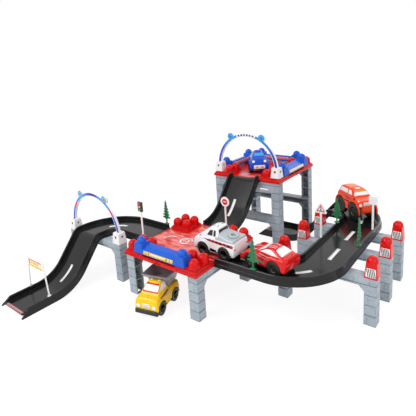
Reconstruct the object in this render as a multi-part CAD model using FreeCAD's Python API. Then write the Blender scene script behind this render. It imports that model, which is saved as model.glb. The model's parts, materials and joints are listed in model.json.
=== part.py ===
"""Toy race track set: two raised decks, brick gates, road pieces, ramps, signs and five cars.

Lengths are in millimetres. The layout is worked out from the near left corner of the lower deck,
with +X along the front edge, +Y away from the front and +Z up, and every piece is then moved so
that the set's box is centred on the origin and stands on Z = 0.
"""
import FreeCAD
import Part
import math
import os
from FreeCAD import Vector

# Module of the building system
PITCH = 32.0
PAD_MODULES = 2
ROAD_MODULES = 3
DOME_R = 12.0
DOME_NECK = 8.0
PEG = 13.0
PEG_RISE = 5.0
SNAP_GAP = 0.2

# Gate: a brick portal that carries decks, roads and caps
GATE_MODULES = 6
GATE_H = 103.0
GATE_D = 25.0
GATE_LEG = 24.0
GATE_BEAM = 19.0
GATE_CORNER = 11.0
GATE_WALL = 2.4
GATE_INSET = 2.0
GATE_BORDER = 8.0
BRICK_ROW = 18.5
BRICK_GROOVE = 0.7

# Deck: a square tray with four domed pads and a sunken crossroad
DECK_FLANGE = 8.0
DECK_LIP = 2.0
PAD_STEP = 3.0
PAD_INSET = 3.0
DECK_WALL = 2.5
DECK_EDGE = 12.0
DECK_CELLS = 4

# Road section: a channel with flared outer skirts
ROAD_BASE_HALF = 50.0
ROAD_TOP_HALF = 47.5
ROAD_IN_HALF = 41.0
ROAD_WALL_RISE = 11.0
ROAD_SKIN = 2.2
ROAD_STEP = 1.2
TONGUE_W = 20.0
TONGUE_T = 2.0
TONGUE_REACH = 8.0
TONGUE_DROP = 3.6

# Road pieces
STRAIGHT_LONG = 119.0
STRAIGHT_SHORT = 91.0
CURVE_R = 78.0
RAMP_RUN = 145.0
RAMP_ANGLE = 50.0
RAMP_TOP_R = 22.0
RAMP_LIP = 11.0
END_LENGTH = 88.0
END_NOSE = 22.0

# Railing, caps and arches
RAIL_MODULES = 5
RAIL_GAP = 1.0
RAIL_BACK_RISE = 18.0
RAIL_FACE_RISE = 9.0
RAIL_SLANT = 2.0
RAIL_CREST = 13.0
RAIL_POST_RISE = 22.0
RAIL_DOME_R = 11.0
RAIL_DOME_NECK = 2.0
POST_TAPER = 2.5
POST_CORNER = 2.0
CAP_H = 31.0
CAP_SIDE = 26.0
CAP_DOME_R = 11.5
ARCH_BLOCK = 27.0
ARCH_BLOCK_H = 28.0
ARCH_RISE = 87.0
ARCH_BAND = 9.0
ARCH_THICK = 3.0
ARCH_DISC_R = 11.5
ARCH_DISC_ANGLE = 30.0
ARCH_TONGUE = 6.0

# Signs and trees
STEM_W = 4.5
STEM_T = 2.0
FOOT_L = 8.0
FOOT_W = 2.8
FOOT_H = 3.0
SIGN_THICK = 1.6
DISC_R = 13.0
DISC_RISE = 83.0
TRIANGLE_HALF = 16.0
TRIANGLE_RISE = 60.0
SIGNAL_W = 15.0
SIGNAL_H = 25.0
SIGNAL_T = 4.0
SIGNAL_RISE = 66.0
LAMP_R = 3.2
LAMP_PROUD = 1.2
SQUARE_SIDE = 20.0
SQUARE_RISE = 63.0
STAND_R = 6.0
TREE_RISE = 67.0
TREE_HALF = 13.5
TREE_TIERS = 4
TREE_BARE = 0.28
GANTRY_RISE = 84.0
GANTRY_SPREAD = 9.0
GANTRY_PANEL = 22.0

# Vehicles: shared running gear
AXLE_R = 2.0
AXLE_CLEAR = 0.05
AXLE_SLOT = 0.6
WHEEL_W = 11.0
WHEEL_SIDE_GAP = 1.0
WHEEL_DISH = 2.0
WHEEL_TREAD = 0.62
WHEEL_ROUND = 1.5
ARCH_CLEAR = 2.0
ARCH_WALL = 2.0
GROUND_GAP = 0.3
CHASSIS_T = 3.0
CHASSIS_FIT = 0.2
CHASSIS_END = 10.0
BEARING_L = 12.0
BEARING_W = 5.0
BEARING_TOP = 7.0
UNDER_GAP = 12.5
HULL_ROUND = 3.0

# Layout places
SIDE_GATE_PITCH = 103.0
SIDE_GATE_BACK = 6.0
LEFT_GATE_ASIDE = 12.0
LEFT_GATE_AHEAD = 0.5
GANTRY_SETBACK = 15.0
SIGN_BEFORE_GATE = 7.0
SIGN_FROM_DECK = 5.0
ROUND_SIGN_ASIDE = 7.0
ROUND_SIGN_SETBACK = 13.0
FRONT_TREE_SETBACK = 22.0

# Sizes that follow from the ones above
GATE_PEG_SPAN = PITCH * GATE_MODULES
GATE_W = GATE_PEG_SPAN + GATE_LEG
DECK = PITCH * (2 * PAD_MODULES + ROAD_MODULES)
PAD = PITCH * PAD_MODULES
ROAD_LEVEL = GATE_H + DECK_FLANGE
PAD_LEVEL = ROAD_LEVEL + 2 * PAD_STEP
ROAD_DEPTH = DECK_FLANGE
TOWER_Y = DECK + RAMP_RUN
MID = DECK / 2
LEFT_CURVE_X = -STRAIGHT_SHORT
LEFT_CURVE_Y = MID - CURVE_R
RIGHT_CURVE_X = DECK + STRAIGHT_LONG
FRONT_CURVE_Y = MID + CURVE_R
BACK_CURVE_Y = FRONT_CURVE_Y + 2 * STRAIGHT_LONG
SIDE_X = RIGHT_CURVE_X + CURVE_R
BACK_LEG_Y = BACK_CURVE_Y + CURVE_R
LEFT_LEG_X = LEFT_CURVE_X - CURVE_R
RAMP_LENGTH = RAMP_LIP + RAMP_RUN
LEFT_END_Y = LEFT_CURVE_Y - RAMP_LENGTH - END_LENGTH
SIDE_GATE_Y = FRONT_CURVE_Y - SIDE_GATE_BACK
LEFT_GATE_X = LEFT_LEG_X + LEFT_GATE_ASIDE
LEFT_GATE_Y = LEFT_CURVE_Y - RAMP_LIP + LEFT_GATE_AHEAD

# The set's box, and the shift that centres it
SET_X_LOW = LEFT_GATE_X - (GATE_PEG_SPAN + max(GATE_LEG, ARCH_BLOCK)) / 2
SET_X_HIGH = SIDE_X + (GATE_PEG_SPAN + max(GATE_LEG, CAP_SIDE)) / 2
SET_Y_LOW = LEFT_END_Y
SET_Y_HIGH = TOWER_Y + DECK
SHIFT = Vector(-(SET_X_LOW + SET_X_HIGH) / 2, -(SET_Y_LOW + SET_Y_HIGH) / 2, 0)

PARTS = {}


def box(x, y, z, dx, dy, dz):
    """A block from its low corner and its three sides."""
    return Part.makeBox(dx, dy, dz, Vector(x, y, z))


def cylinder(x, y, z, radius, height, axis=Vector(0, 0, 1)):
    """A cylinder from the centre of its first end."""
    return Part.makeCylinder(radius, height, Vector(x, y, z), axis)


def prism(points, direction):
    """A closed outline swept straight along a direction."""
    return Part.Face(Part.makePolygon(points + points[:1])).extrude(direction)


def side_prism(outline, half_width):
    """An outline of (x, z) points swept across Y, centred on Y = 0."""
    points = [Vector(x, -half_width, z) for x, z in outline]
    return prism(points, Vector(0, 2 * half_width, 0))


def plan_prism(outline, z, height):
    """An outline of (x, y) points swept upwards."""
    return prism([Vector(x, y, z) for x, y in outline], Vector(0, 0, height))


def placed(shape, x=0.0, y=0.0, z=0.0, turn=0.0):
    """A copy of a shape, turned about Z at its origin and then moved."""
    copy = shape.copy()
    copy.rotate(Vector(0, 0, 0), Vector(0, 0, 1), turn)
    copy.translate(Vector(x, y, z))
    return copy


def add(name, shape):
    """Keep one named piece, moved into the set's own frame."""
    moved = shape.copy()
    moved.translate(SHIFT)
    PARTS[name] = moved


def rounded_rectangle(x_half, y_half, radius, z, x_mid=0.0):
    """A flat wire with rounded corners, used as a loft section."""
    corners = []
    for sx, sy, start in ((1, 1, 0), (-1, 1, 90), (-1, -1, 180), (1, -1, 270)):
        centre = Vector(x_mid + sx * (x_half - radius), sy * (y_half - radius), z)
        ends = []
        for angle in (start, start + 45, start + 90):
            a = math.radians(angle)
            ends.append(centre + Vector(radius * math.cos(a), radius * math.sin(a), 0))
        corners.append(ends)
    edges = []
    for index, ends in enumerate(corners):
        edges.append(Part.Arc(*ends).toShape())
        following = corners[(index + 1) % 4][0]
        edges.append(Part.LineSegment(ends[2], following).toShape())
    return Part.Wire(edges)


# Domes and pegs


def dome(radius, neck):
    """A round building stud: a short neck under half a ball."""
    neck_shape = cylinder(0, 0, 0, radius, neck)
    cap = Part.makeSphere(radius, Vector(0, 0, neck), Vector(0, 0, 1), 0, 90, 360)
    return neck_shape.fuse(cap).removeSplitter()


# Gates


def gate_outline(inset=0.0):
    """The portal's front outline, drawn in from its edge by an inset."""
    half = GATE_W / 2 - inset
    inner = GATE_W / 2 - GATE_LEG + inset
    under = GATE_H - GATE_BEAM + inset
    slant = GATE_CORNER
    return [(-half, inset), (-inner, inset), (-inner, under - slant), (-inner + slant, under),
            (inner - slant, under), (inner, under - slant), (inner, inset), (half, inset),
            (half, GATE_H - inset), (-half, GATE_H - inset)]


def make_gate():
    """One portal, centred on X, with its brick face at Y = 0 and its open back at Y = GATE_D."""
    outer = [Vector(x, 0, z) for x, z in gate_outline()]
    shell = prism(outer, Vector(0, GATE_D, 0))
    hollow = [Vector(x, GATE_WALL, z) for x, z in gate_outline(GATE_WALL)]
    shell = shell.cut(prism(hollow, Vector(0, GATE_D, 0)))
    leg_x = GATE_PEG_SPAN / 2
    tools = []
    row = GATE_H - BRICK_ROW / 2
    while row > BRICK_ROW / 2:
        for side in (-1, 1):
            left = side * (GATE_W / 2 - (GATE_LEG - GATE_BORDER) / 2)
            width = GATE_LEG - GATE_BORDER
            tools.append(box(left - width / 2 - BRICK_GROOVE, -BRICK_GROOVE, row - BRICK_GROOVE / 2,
                             width + 2 * BRICK_GROOVE, 2 * BRICK_GROOVE, BRICK_GROOVE))
        row -= BRICK_ROW
    shell = shell.cut(tools)
    socket = PEG + 2 * SNAP_GAP
    ribs = []
    for side in (-1, 1):
        x = side * leg_x
        ribs.append(box(x - GATE_LEG / 2 + GATE_WALL, GATE_WALL, GATE_H / 3,
                        GATE_LEG - 2 * GATE_WALL, GATE_D - 2 * GATE_WALL, GATE_WALL))
        ribs.append(box(x - GATE_LEG / 2 + GATE_WALL, GATE_WALL, GATE_H * 2 / 3,
                        GATE_LEG - 2 * GATE_WALL, GATE_D - 2 * GATE_WALL, GATE_WALL))
        ribs.append(box(x - PEG / 2, GATE_D / 2 - PEG / 2, GATE_H, PEG, PEG, PEG_RISE))
    shell = shell.fuse(ribs)
    holes = [box(side * leg_x - socket / 2, GATE_D / 2 - socket / 2, -1, socket, socket,
                 GATE_WALL + 2) for side in (-1, 1)]
    return shell.cut(holes).removeSplitter()


# Decks


def deck_sockets():
    """Square sockets for the gates' pegs, and a slot in each side for a road's tongue."""
    socket = PEG + 2 * SNAP_GAP
    reach = DECK / 2
    across = reach - GATE_INSET - GATE_D / 2
    tools = []
    for along in (-GATE_PEG_SPAN / 2, GATE_PEG_SPAN / 2):
        for side in (-across, across):
            tools.append(box(reach + along - socket / 2, reach + side - socket / 2, -1, socket,
                             socket, 1 + PEG_RISE + SNAP_GAP))
    slot_w = TONGUE_W + 2 * SNAP_GAP
    slot_z = DECK_FLANGE - TONGUE_DROP - TONGUE_T - SNAP_GAP
    slot_in = TONGUE_REACH + SNAP_GAP
    slot = box(-slot_w / 2, -reach - 1, slot_z, slot_w, slot_in + 1, TONGUE_T + 2 * SNAP_GAP)
    for turn in (0, 90, 180, 270):
        tools.append(placed(slot, reach, reach, 0, turn))
    return tools


def make_deck():
    """One deck, with its low corner at the origin and its gates running along X."""
    slab = box(0, 0, 0, DECK, DECK, DECK_FLANGE - DECK_LIP)
    top = box(DECK_LIP, DECK_LIP, DECK_FLANGE - DECK_LIP, DECK - 2 * DECK_LIP, DECK - 2 * DECK_LIP,
              DECK_LIP)
    solids = [top]
    for i in (0, 1):
        for j in (0, 1):
            x = i * (DECK - PAD)
            y = j * (DECK - PAD)
            low = PAD_INSET
            side = PAD - 2 * low
            solids.append(box(x + low, y + low, DECK_FLANGE, side, side, PAD_STEP))
            low = 2 * PAD_INSET
            side = PAD - 2 * low
            solids.append(box(x + low, y + low, DECK_FLANGE + PAD_STEP, side, side, PAD_STEP))
            for a in range(PAD_MODULES):
                for b in range(PAD_MODULES):
                    stud = dome(DOME_R, DOME_NECK)
                    solids.append(placed(stud, x + (a + 0.5) * PITCH, y + (b + 0.5) * PITCH,
                                         DECK_FLANGE + 2 * PAD_STEP))
    deck = slab.fuse(solids)
    ledge = GATE_INSET + GATE_D + DECK_WALL
    cell_x = (DECK - 2 * DECK_EDGE - (DECK_CELLS - 1) * DECK_WALL) / DECK_CELLS
    cell_y = DECK - 2 * ledge
    pockets = []
    for index in range(DECK_CELLS):
        x = DECK_EDGE + index * (cell_x + DECK_WALL)
        pockets.append(box(x, ledge, -1, cell_x, cell_y, 1 + DECK_FLANGE - DECK_WALL))
    return deck.cut(pockets + deck_sockets()).removeSplitter()


# Road pieces


def road_outline():
    """Half of the road's section, as (across, height above the road surface) points."""
    base = -ROAD_DEPTH
    top = ROAD_WALL_RISE
    step = (ROAD_BASE_HALF - ROAD_TOP_HALF) / 2
    outer = [(ROAD_BASE_HALF, base), (ROAD_BASE_HALF - step, 0),
             (ROAD_BASE_HALF - step - ROAD_STEP, 0), (ROAD_TOP_HALF - ROAD_STEP, top - ROAD_STEP),
             (ROAD_TOP_HALF - 2 * ROAD_STEP, top)]
    inner = [(ROAD_IN_HALF + ROAD_STEP, top), (ROAD_IN_HALF, top - ROAD_STEP), (ROAD_IN_HALF, 0)]
    under = [(ROAD_IN_HALF + ROAD_SKIN, -ROAD_SKIN),
             (ROAD_IN_HALF + ROAD_SKIN, top - ROAD_SKIN - ROAD_STEP),
             (ROAD_TOP_HALF - ROAD_STEP - ROAD_SKIN, top - ROAD_SKIN - ROAD_STEP),
             (ROAD_BASE_HALF - ROAD_SKIN, base)]
    return outer + inner, under


def road_face(place):
    """The road's section as a face, its points put in space by a function of (across, height)."""
    upper, under = road_outline()
    right = [place(u, w) for u, w in upper]
    left = [place(-u, w) for u, w in reversed(upper)]
    left_under = [place(-u, w) for u, w in reversed(under)]
    right_under = [place(u, w) for u, w in under]
    points = right + left + left_under + right_under
    return Part.Face(Part.makePolygon(points + points[:1]))


def tongue():
    """The flat tongue under a road's start; it reaches along -X under the next piece."""
    root = box(0, -TONGUE_W / 2, -TONGUE_DROP - TONGUE_T, TONGUE_REACH, TONGUE_W,
               TONGUE_DROP + TONGUE_T - ROAD_SKIN / 2)
    tip = box(-TONGUE_REACH, -TONGUE_W / 2, -TONGUE_DROP - TONGUE_T, TONGUE_REACH, TONGUE_W,
              TONGUE_T)
    return root.fuse(tip)


def straight_channel(length):
    """A straight length of road from the origin along +X, its surface at Z = 0."""
    face = road_face(lambda u, w: Vector(0, u, w))
    return face.extrude(Vector(length, 0, 0))


def make_straight(length):
    """A straight road piece with its tongue."""
    return straight_channel(length).fuse(tongue()).removeSplitter()


def make_curve():
    """A quarter bend about the origin, from the -Y side round to the +X side."""
    face = road_face(lambda u, w: Vector(0, -CURVE_R - u, w))
    bend = face.revolve(Vector(0, 0, 0), Vector(0, 0, 1), 90)
    return bend.fuse(placed(tongue(), 0, -CURVE_R)).removeSplitter()


def ramp_lengths():
    """The ramp's straight slope and lower radius, from its run, drop, angle and top radius."""
    angle = math.radians(RAMP_ANGLE)
    slope = GATE_H / math.tan(angle / 2) - RAMP_RUN
    radii = (RAMP_RUN - slope * math.cos(angle)) / math.sin(angle)
    return slope, radii - RAMP_TOP_R


def make_ramp(lip, foot_tongue=False):
    """A ramp from the origin along +X, down by one gate's height; a level lip runs before it."""
    slope, low_r = ramp_lengths()
    angle = math.radians(RAMP_ANGLE)
    start = road_face(lambda u, w: Vector(0, u, w))
    pieces = []
    if lip > 0:
        first = road_face(lambda u, w: Vector(-lip, u, w))
        pieces.append(first.extrude(Vector(lip, 0, 0)))
    pieces.append(start.revolve(Vector(0, 0, -RAMP_TOP_R), Vector(0, 1, 0), RAMP_ANGLE))
    crest = Vector(RAMP_TOP_R * math.sin(angle), 0, -RAMP_TOP_R * (1 - math.cos(angle)))
    along = Vector(math.cos(angle), 0, -math.sin(angle))
    normal = Vector(math.sin(angle), 0, math.cos(angle))
    tilted = road_face(lambda u, w: crest + Vector(0, u, 0) + normal * w)
    pieces.append(tilted.extrude(along * slope))
    foot = crest + along * slope
    lower = road_face(lambda u, w: foot + Vector(0, u, 0) + normal * w)
    pivot = foot + normal * low_r
    pieces.append(lower.revolve(pivot, Vector(0, 1, 0), -RAMP_ANGLE))
    body = pieces[0]
    for piece in pieces[1:]:
        body = body.fuse(piece)
    body = placed(body.removeSplitter(), lip)
    body = body.fuse(tongue())
    if foot_tongue:
        body = body.fuse(placed(tongue(), lip + RAMP_RUN, 0, -GATE_H, 180))
    return body.removeSplitter()


def make_end():
    """A level end piece along +X whose walls fall to a low nose at the far end."""
    road = make_straight(END_LENGTH)
    nose = [(END_LENGTH - END_NOSE, ROAD_WALL_RISE + 1), (END_LENGTH + 1, ROAD_WALL_RISE + 1),
            (END_LENGTH + 1, -ROAD_DEPTH + ROAD_SKIN), (END_LENGTH, -ROAD_DEPTH + ROAD_SKIN)]
    return road.cut(side_prism(nose, ROAD_BASE_HALF + 1)).removeSplitter()


# Railings, caps and arches


def tapered_post(side, rise, corner):
    """A square post on the origin that narrows a little towards its top."""
    half = side / 2
    bottom = rounded_rectangle(half, half, corner, 0)
    crown = rounded_rectangle(half - POST_TAPER, half - POST_TAPER, corner, rise)
    return Part.makeLoft([bottom, crown], True, True)


def stud_pocket():
    """The round hollow that lets a block sit over one of a pad's studs."""
    return cylinder(0, 0, -1, DOME_R + SNAP_GAP, 1 + DOME_NECK + DOME_R + SNAP_GAP)


def make_railing():
    """A railing of five modules along +X, its outer face at Y = 0 and its feet on the pads."""
    length = RAIL_MODULES * PITCH
    near = RAIL_GAP
    far = PITCH - RAIL_GAP
    bar = [(near, 0), (far, 0), (far - RAIL_SLANT, RAIL_BACK_RISE),
           (near + RAIL_CREST, RAIL_BACK_RISE - RAIL_SLANT), (near + RAIL_SLANT, RAIL_FACE_RISE)]
    start = PITCH / 2
    bar_face = [Vector(start, y, z) for y, z in bar]
    middle = prism(bar_face, Vector(length - 2 * start, 0, 0))
    solids = []
    pockets = []
    for x in (start, length - start):
        solids.append(placed(tapered_post(far - near, RAIL_POST_RISE, POST_CORNER), x, start))
        solids.append(placed(dome(RAIL_DOME_R, RAIL_DOME_NECK), x, start, RAIL_POST_RISE))
        pockets.append(placed(stud_pocket(), x, start))
    return middle.fuse(solids).removeSplitter().cut(pockets)


def make_cap():
    """A gate cap: a block with one domed stud, centred on the origin over a gate's peg."""
    block = tapered_post(CAP_SIDE, CAP_H, POST_CORNER)
    block = block.fuse(placed(dome(CAP_DOME_R, POST_CORNER), z=CAP_H)).removeSplitter()
    socket = PEG + 2 * SNAP_GAP
    return block.cut(box(-socket / 2, -socket / 2, -1, socket, socket, 1 + PEG_RISE + SNAP_GAP))


def make_arch_block():
    """A white foot for an arch: it fits over a peg or a stud and has a slot on top."""
    slot_x = ARCH_BAND + 2 * SNAP_GAP
    slot_y = ARCH_THICK + 2 * SNAP_GAP
    slot = box(-slot_x / 2, -slot_y / 2, ARCH_BLOCK_H - ARCH_TONGUE, slot_x, slot_y,
               ARCH_TONGUE + 1)
    return tapered_post(ARCH_BLOCK, ARCH_BLOCK_H, POST_CORNER).cut([stud_pocket(), slot])


def arch_middle_r():
    """Radius of the arch's middle line, from its span and its rise above its blocks."""
    half = GATE_PEG_SPAN / 2
    return (half ** 2 + ARCH_RISE ** 2) / (2 * ARCH_RISE)


def arch_centre_z():
    """Height of the arch's centre above the foot of its blocks."""
    return ARCH_BLOCK_H + ARCH_RISE - arch_middle_r()


def make_arch():
    """An arch band in the XZ plane over the origin, with two round discs and straight tongues."""
    centre = Vector(0, -ARCH_THICK / 2, arch_centre_z())
    across = Vector(0, 1, 0)
    outer_r = arch_middle_r() + ARCH_BAND / 2
    ring = Part.makeCylinder(outer_r, ARCH_THICK, centre, across)
    hole = Part.makeCylinder(outer_r - ARCH_BAND, ARCH_THICK, centre, across)
    below = box(-2 * outer_r, -ARCH_THICK, centre.z - 2 * outer_r, 4 * outer_r, 2 * ARCH_THICK,
                2 * outer_r + ARCH_BLOCK_H - centre.z)
    band = ring.cut(hole).cut(below)
    foot_z = ARCH_BLOCK_H - ARCH_TONGUE + SNAP_GAP
    solids = []
    for side in (-1, 1):
        solids.append(box(side * GATE_PEG_SPAN / 2 - ARCH_BAND / 2, -ARCH_THICK / 2, foot_z,
                          ARCH_BAND, ARCH_THICK, ARCH_BLOCK_H + 1 - foot_z))
        angle = math.radians(90 - side * ARCH_DISC_ANGLE)
        place = centre + Vector(math.cos(angle), 0, math.sin(angle)) * (outer_r + ARCH_DISC_R / 4)
        solids.append(Part.makeCylinder(ARCH_DISC_R, ARCH_THICK, place, across))
    return band.fuse(solids).removeSplitter()


# Signs and trees


def sign_stem(rise, foot_turn=0.0):
    """A flat stem with a foot that stands on the top of a road's wall."""
    stem = box(-STEM_W / 2, -STEM_T / 2, 0, STEM_W, STEM_T, rise)
    foot = box(-FOOT_L / 2, -FOOT_W / 2, 0, FOOT_L, FOOT_W, FOOT_H)
    return stem.fuse(placed(foot, turn=foot_turn))


def make_round_sign():
    """A round sign that faces -Y, on a round stand."""
    stand = cylinder(0, 0, 0, STAND_R, FOOT_H)
    stem = sign_stem(DISC_RISE)
    disc = cylinder(0, -STEM_T / 2, DISC_RISE, DISC_R, SIGN_THICK, Vector(0, 1, 0))
    return stem.fuse([stand, disc]).removeSplitter()


def make_triangle_sign():
    """A three-cornered sign that faces -Y, on a wall that runs along Y."""
    high = TRIANGLE_RISE + TRIANGLE_HALF * math.sqrt(3)
    corners = [(-TRIANGLE_HALF, TRIANGLE_RISE), (TRIANGLE_HALF, TRIANGLE_RISE), (0, high)]
    plate = prism([Vector(x, -STEM_T / 2, z) for x, z in corners], Vector(0, SIGN_THICK, 0))
    edges = [edge for edge in plate.Edges if abs(edge.tangentAt(0).y) > 0.9]
    stem = sign_stem(TRIANGLE_RISE + 2, 90)
    return stem.fuse(plate.makeFillet(2.5, edges)).removeSplitter()


def make_traffic_light():
    """A signal head with three lamps that faces -Y, on a wall that runs along X."""
    stem = sign_stem(SIGNAL_RISE)
    head = box(-SIGNAL_W / 2, -SIGNAL_T + STEM_T / 2, SIGNAL_RISE - 1, SIGNAL_W, SIGNAL_T, SIGNAL_H)
    solids = [head]
    for lamp in range(3):
        z = SIGNAL_RISE - 1 + SIGNAL_H * (lamp + 0.5) / 3
        y = -SIGNAL_T + STEM_T / 2 - LAMP_PROUD
        solids.append(cylinder(0, y, z, LAMP_R, LAMP_PROUD + 0.5, Vector(0, 1, 0)))
    return stem.fuse(solids).removeSplitter()


def make_square_sign():
    """A plain square plate that faces -Y, on a wall that runs along Y."""
    plate = box(-SQUARE_SIDE / 2, -STEM_T / 2, SQUARE_RISE, SQUARE_SIDE, SIGN_THICK, SQUARE_SIDE)
    return sign_stem(SQUARE_RISE + 2, 90).fuse(plate).removeSplitter()


def make_tree(foot_turn):
    """A flat fir tree with notched tiers that faces -Y."""
    base = TREE_RISE * TREE_BARE
    step = (TREE_RISE - base) / (TREE_TIERS + 0.3)
    right = []
    for tier in range(TREE_TIERS):
        low = base + tier * step
        half = TREE_HALF * (1 - tier / (TREE_TIERS + 0.6))
        right.append((half, low + step * 0.3))
        right.append((half * 0.55, low + step))
    outline = [(STEM_W / 2, base)] + right + [(0, TREE_RISE)]
    outline += [(-x, z) for x, z in reversed(right)] + [(-STEM_W / 2, base)]
    crown = prism([Vector(x, -STEM_T / 2, z) for x, z in outline], Vector(0, STEM_T, 0))
    return sign_stem(base + 1, foot_turn).fuse(crown).removeSplitter()


def wall_middle():
    """Distance of the flat on a road wall's top from the road's middle line."""
    return (ROAD_IN_HALF + ROAD_STEP + ROAD_TOP_HALF - 2 * ROAD_STEP) / 2


def make_gantry():
    """A banner on two splayed stems that stand on the walls of an end piece, facing -Y."""
    foot = wall_middle()
    top = foot - GANTRY_SPREAD
    solids = []
    for side in (-1, 1):
        low = side * foot
        high = side * top
        half = STEM_W / 2
        stem = [(low - half, 0), (low + half, 0), (high + half, GANTRY_RISE),
                (high - half, GANTRY_RISE)]
        solids.append(side_prism(stem, STEM_T / 2))
        solids.append(placed(box(-FOOT_L / 2, -FOOT_W / 2, 0, FOOT_L, FOOT_W, FOOT_H),
                             low, turn=90))
    panel = box(-top, -STEM_T / 2 - SIGN_THICK / 2, GANTRY_RISE - GANTRY_PANEL, 2 * top,
                SIGN_THICK, GANTRY_PANEL)
    return panel.fuse(solids).removeSplitter()


# Vehicles


def make_wheelset(radius, width):
    """An axle along Y with a wheel pressed on each end; its centre is the origin."""
    half = width / 2 - WHEEL_SIDE_GAP
    solids = [cylinder(0, -half, 0, AXLE_R, 2 * half, Vector(0, 1, 0))]
    tread = radius * WHEEL_TREAD
    for side in (-1, 1):
        outer = side * half
        inner = side * (half - WHEEL_W)
        shoulder = side * WHEEL_ROUND
        dished = outer - side * WHEEL_DISH
        profile = [(AXLE_R, inner), (radius - WHEEL_ROUND, inner), (radius, inner + shoulder),
                   (radius, outer - shoulder), (radius - WHEEL_ROUND, outer), (tread, outer),
                   (tread - WHEEL_ROUND, dished), (AXLE_R, dished)]
        points = [Vector(r, y, 0) for r, y in profile]
        wheel = Part.Face(Part.makePolygon(points + points[:1]))
        solids.append(wheel.revolve(Vector(0, 0, 0), Vector(0, 1, 0), 360))
    return Part.makeCompound(solids)


class Vehicle:
    """A toy car: local +X is forwards, +Y is its left side, and Z = 0 is the ground."""

    def __init__(self, name, width, wheel_r, wheelbase, belt, floor_rise, outline, cabin):
        self.name = name
        self.width = width
        self.wheel_r = wheel_r
        self.wheelbase = wheelbase
        self.belt = belt
        self.outline = outline
        self.cabin = cabin
        self.floor = UNDER_GAP + floor_rise

    def hull(self):
        """The lower body: a side outline with rounded long edges."""
        block = side_prism(self.outline, self.width / 2)
        edges = []
        for edge in block.Edges:
            middle = edge.valueAt((edge.FirstParameter + edge.LastParameter) / 2)
            flat = abs(abs(middle.y) - self.width / 2) < 0.01
            if flat and middle.z > self.floor + 0.5:
                edges.append(edge)
        return block.makeFillet(HULL_ROUND, edges)

    def cabin_shape(self):
        """The cabin: a loft from the belt line up to a smaller roof."""
        (x0, x1), (r0, r1), roof_z, tuck = self.cabin
        low = rounded_rectangle((x1 - x0) / 2, self.width / 2 - 2, 4, self.belt - 4, (x0 + x1) / 2)
        mid_z = self.belt + (roof_z - self.belt) * 0.85
        high = rounded_rectangle((r1 - r0) / 2 + 2, self.width / 2 - tuck, 5, mid_z, (r0 + r1) / 2)
        roof = rounded_rectangle((r1 - r0) / 2 - 3, self.width / 2 - tuck - 5, 5, roof_z,
                                 (r0 + r1) / 2)
        return Part.makeLoft([low, high, roof], True, True)

    def cavity_half(self):
        """Half the width of the channel under the body that holds the chassis."""
        return self.width / 2 - WHEEL_SIDE_GAP - WHEEL_W - WHEEL_SIDE_GAP - ARCH_WALL

    def cavity_top(self):
        """Height of the roof of that channel."""
        return self.wheel_r + BEARING_TOP

    def body(self):
        """The body shell with its wheel arches and the channel for the chassis."""
        shape = self.hull().fuse(self.cabin_shape())
        tools = []
        pocket = WHEEL_W + 2 * WHEEL_SIDE_GAP
        for axle in (-1, 1):
            x = axle * self.wheelbase / 2
            for side in (-1, 1):
                y = side * self.width / 2 - (pocket if side > 0 else 1)
                tools.append(cylinder(x, y, self.wheel_r, self.wheel_r + ARCH_CLEAR, pocket + 1,
                                      Vector(0, 1, 0)))
            slot = AXLE_R + AXLE_SLOT
            tools.append(box(x - slot, -self.width / 2, self.floor - 1, 2 * slot, self.width,
                             self.wheel_r + slot - self.floor + 1))
        half = self.cavity_half()
        reach = self.wheelbase / 2 + CHASSIS_END
        tools.append(box(-reach, -half, self.floor - 1, 2 * reach, 2 * half,
                         self.cavity_top() - self.floor + 1))
        return shape.cut(tools).removeSplitter()

    def chassis(self):
        """The base plate with two bearing blocks for each axle."""
        half = self.cavity_half() - CHASSIS_FIT
        reach = self.wheelbase / 2 + CHASSIS_END - CHASSIS_FIT
        plate = box(-reach, -half, self.floor, 2 * reach, 2 * half, CHASSIS_T)
        blocks = []
        bores = []
        for axle in (-1, 1):
            x = axle * self.wheelbase / 2
            for side in (-1, 1):
                y = -half if side < 0 else half - BEARING_W
                blocks.append(box(x - BEARING_L / 2, y, self.floor, BEARING_L, BEARING_W,
                                  self.cavity_top() - self.floor))
            bores.append(cylinder(x, -half - 1, self.wheel_r, AXLE_R + AXLE_CLEAR,
                                  2 * half + 2, Vector(0, 1, 0)))
        return plate.fuse(blocks).cut(bores).removeSplitter()

    def axle(self, end):
        """The front (+1) or rear (-1) wheelset in its place under the body."""
        wheels = make_wheelset(self.wheel_r, self.width)
        return placed(wheels, end * self.wheelbase / 2, 0, self.wheel_r)


def lower_outline(length, floor, belt, nose, tail, hood_drop=6.0):
    """A side outline: bumper and tail rise from the floor, with a bonnet that falls to the nose."""
    half = length / 2
    return [(-half + 4, floor), (half - 4, floor), (half, floor + 4), (half - nose * 0.2,
            belt - hood_drop), (half - nose, belt), (-half + tail, belt), (-half, belt - 4),
            (-half, floor + 5)]


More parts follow.
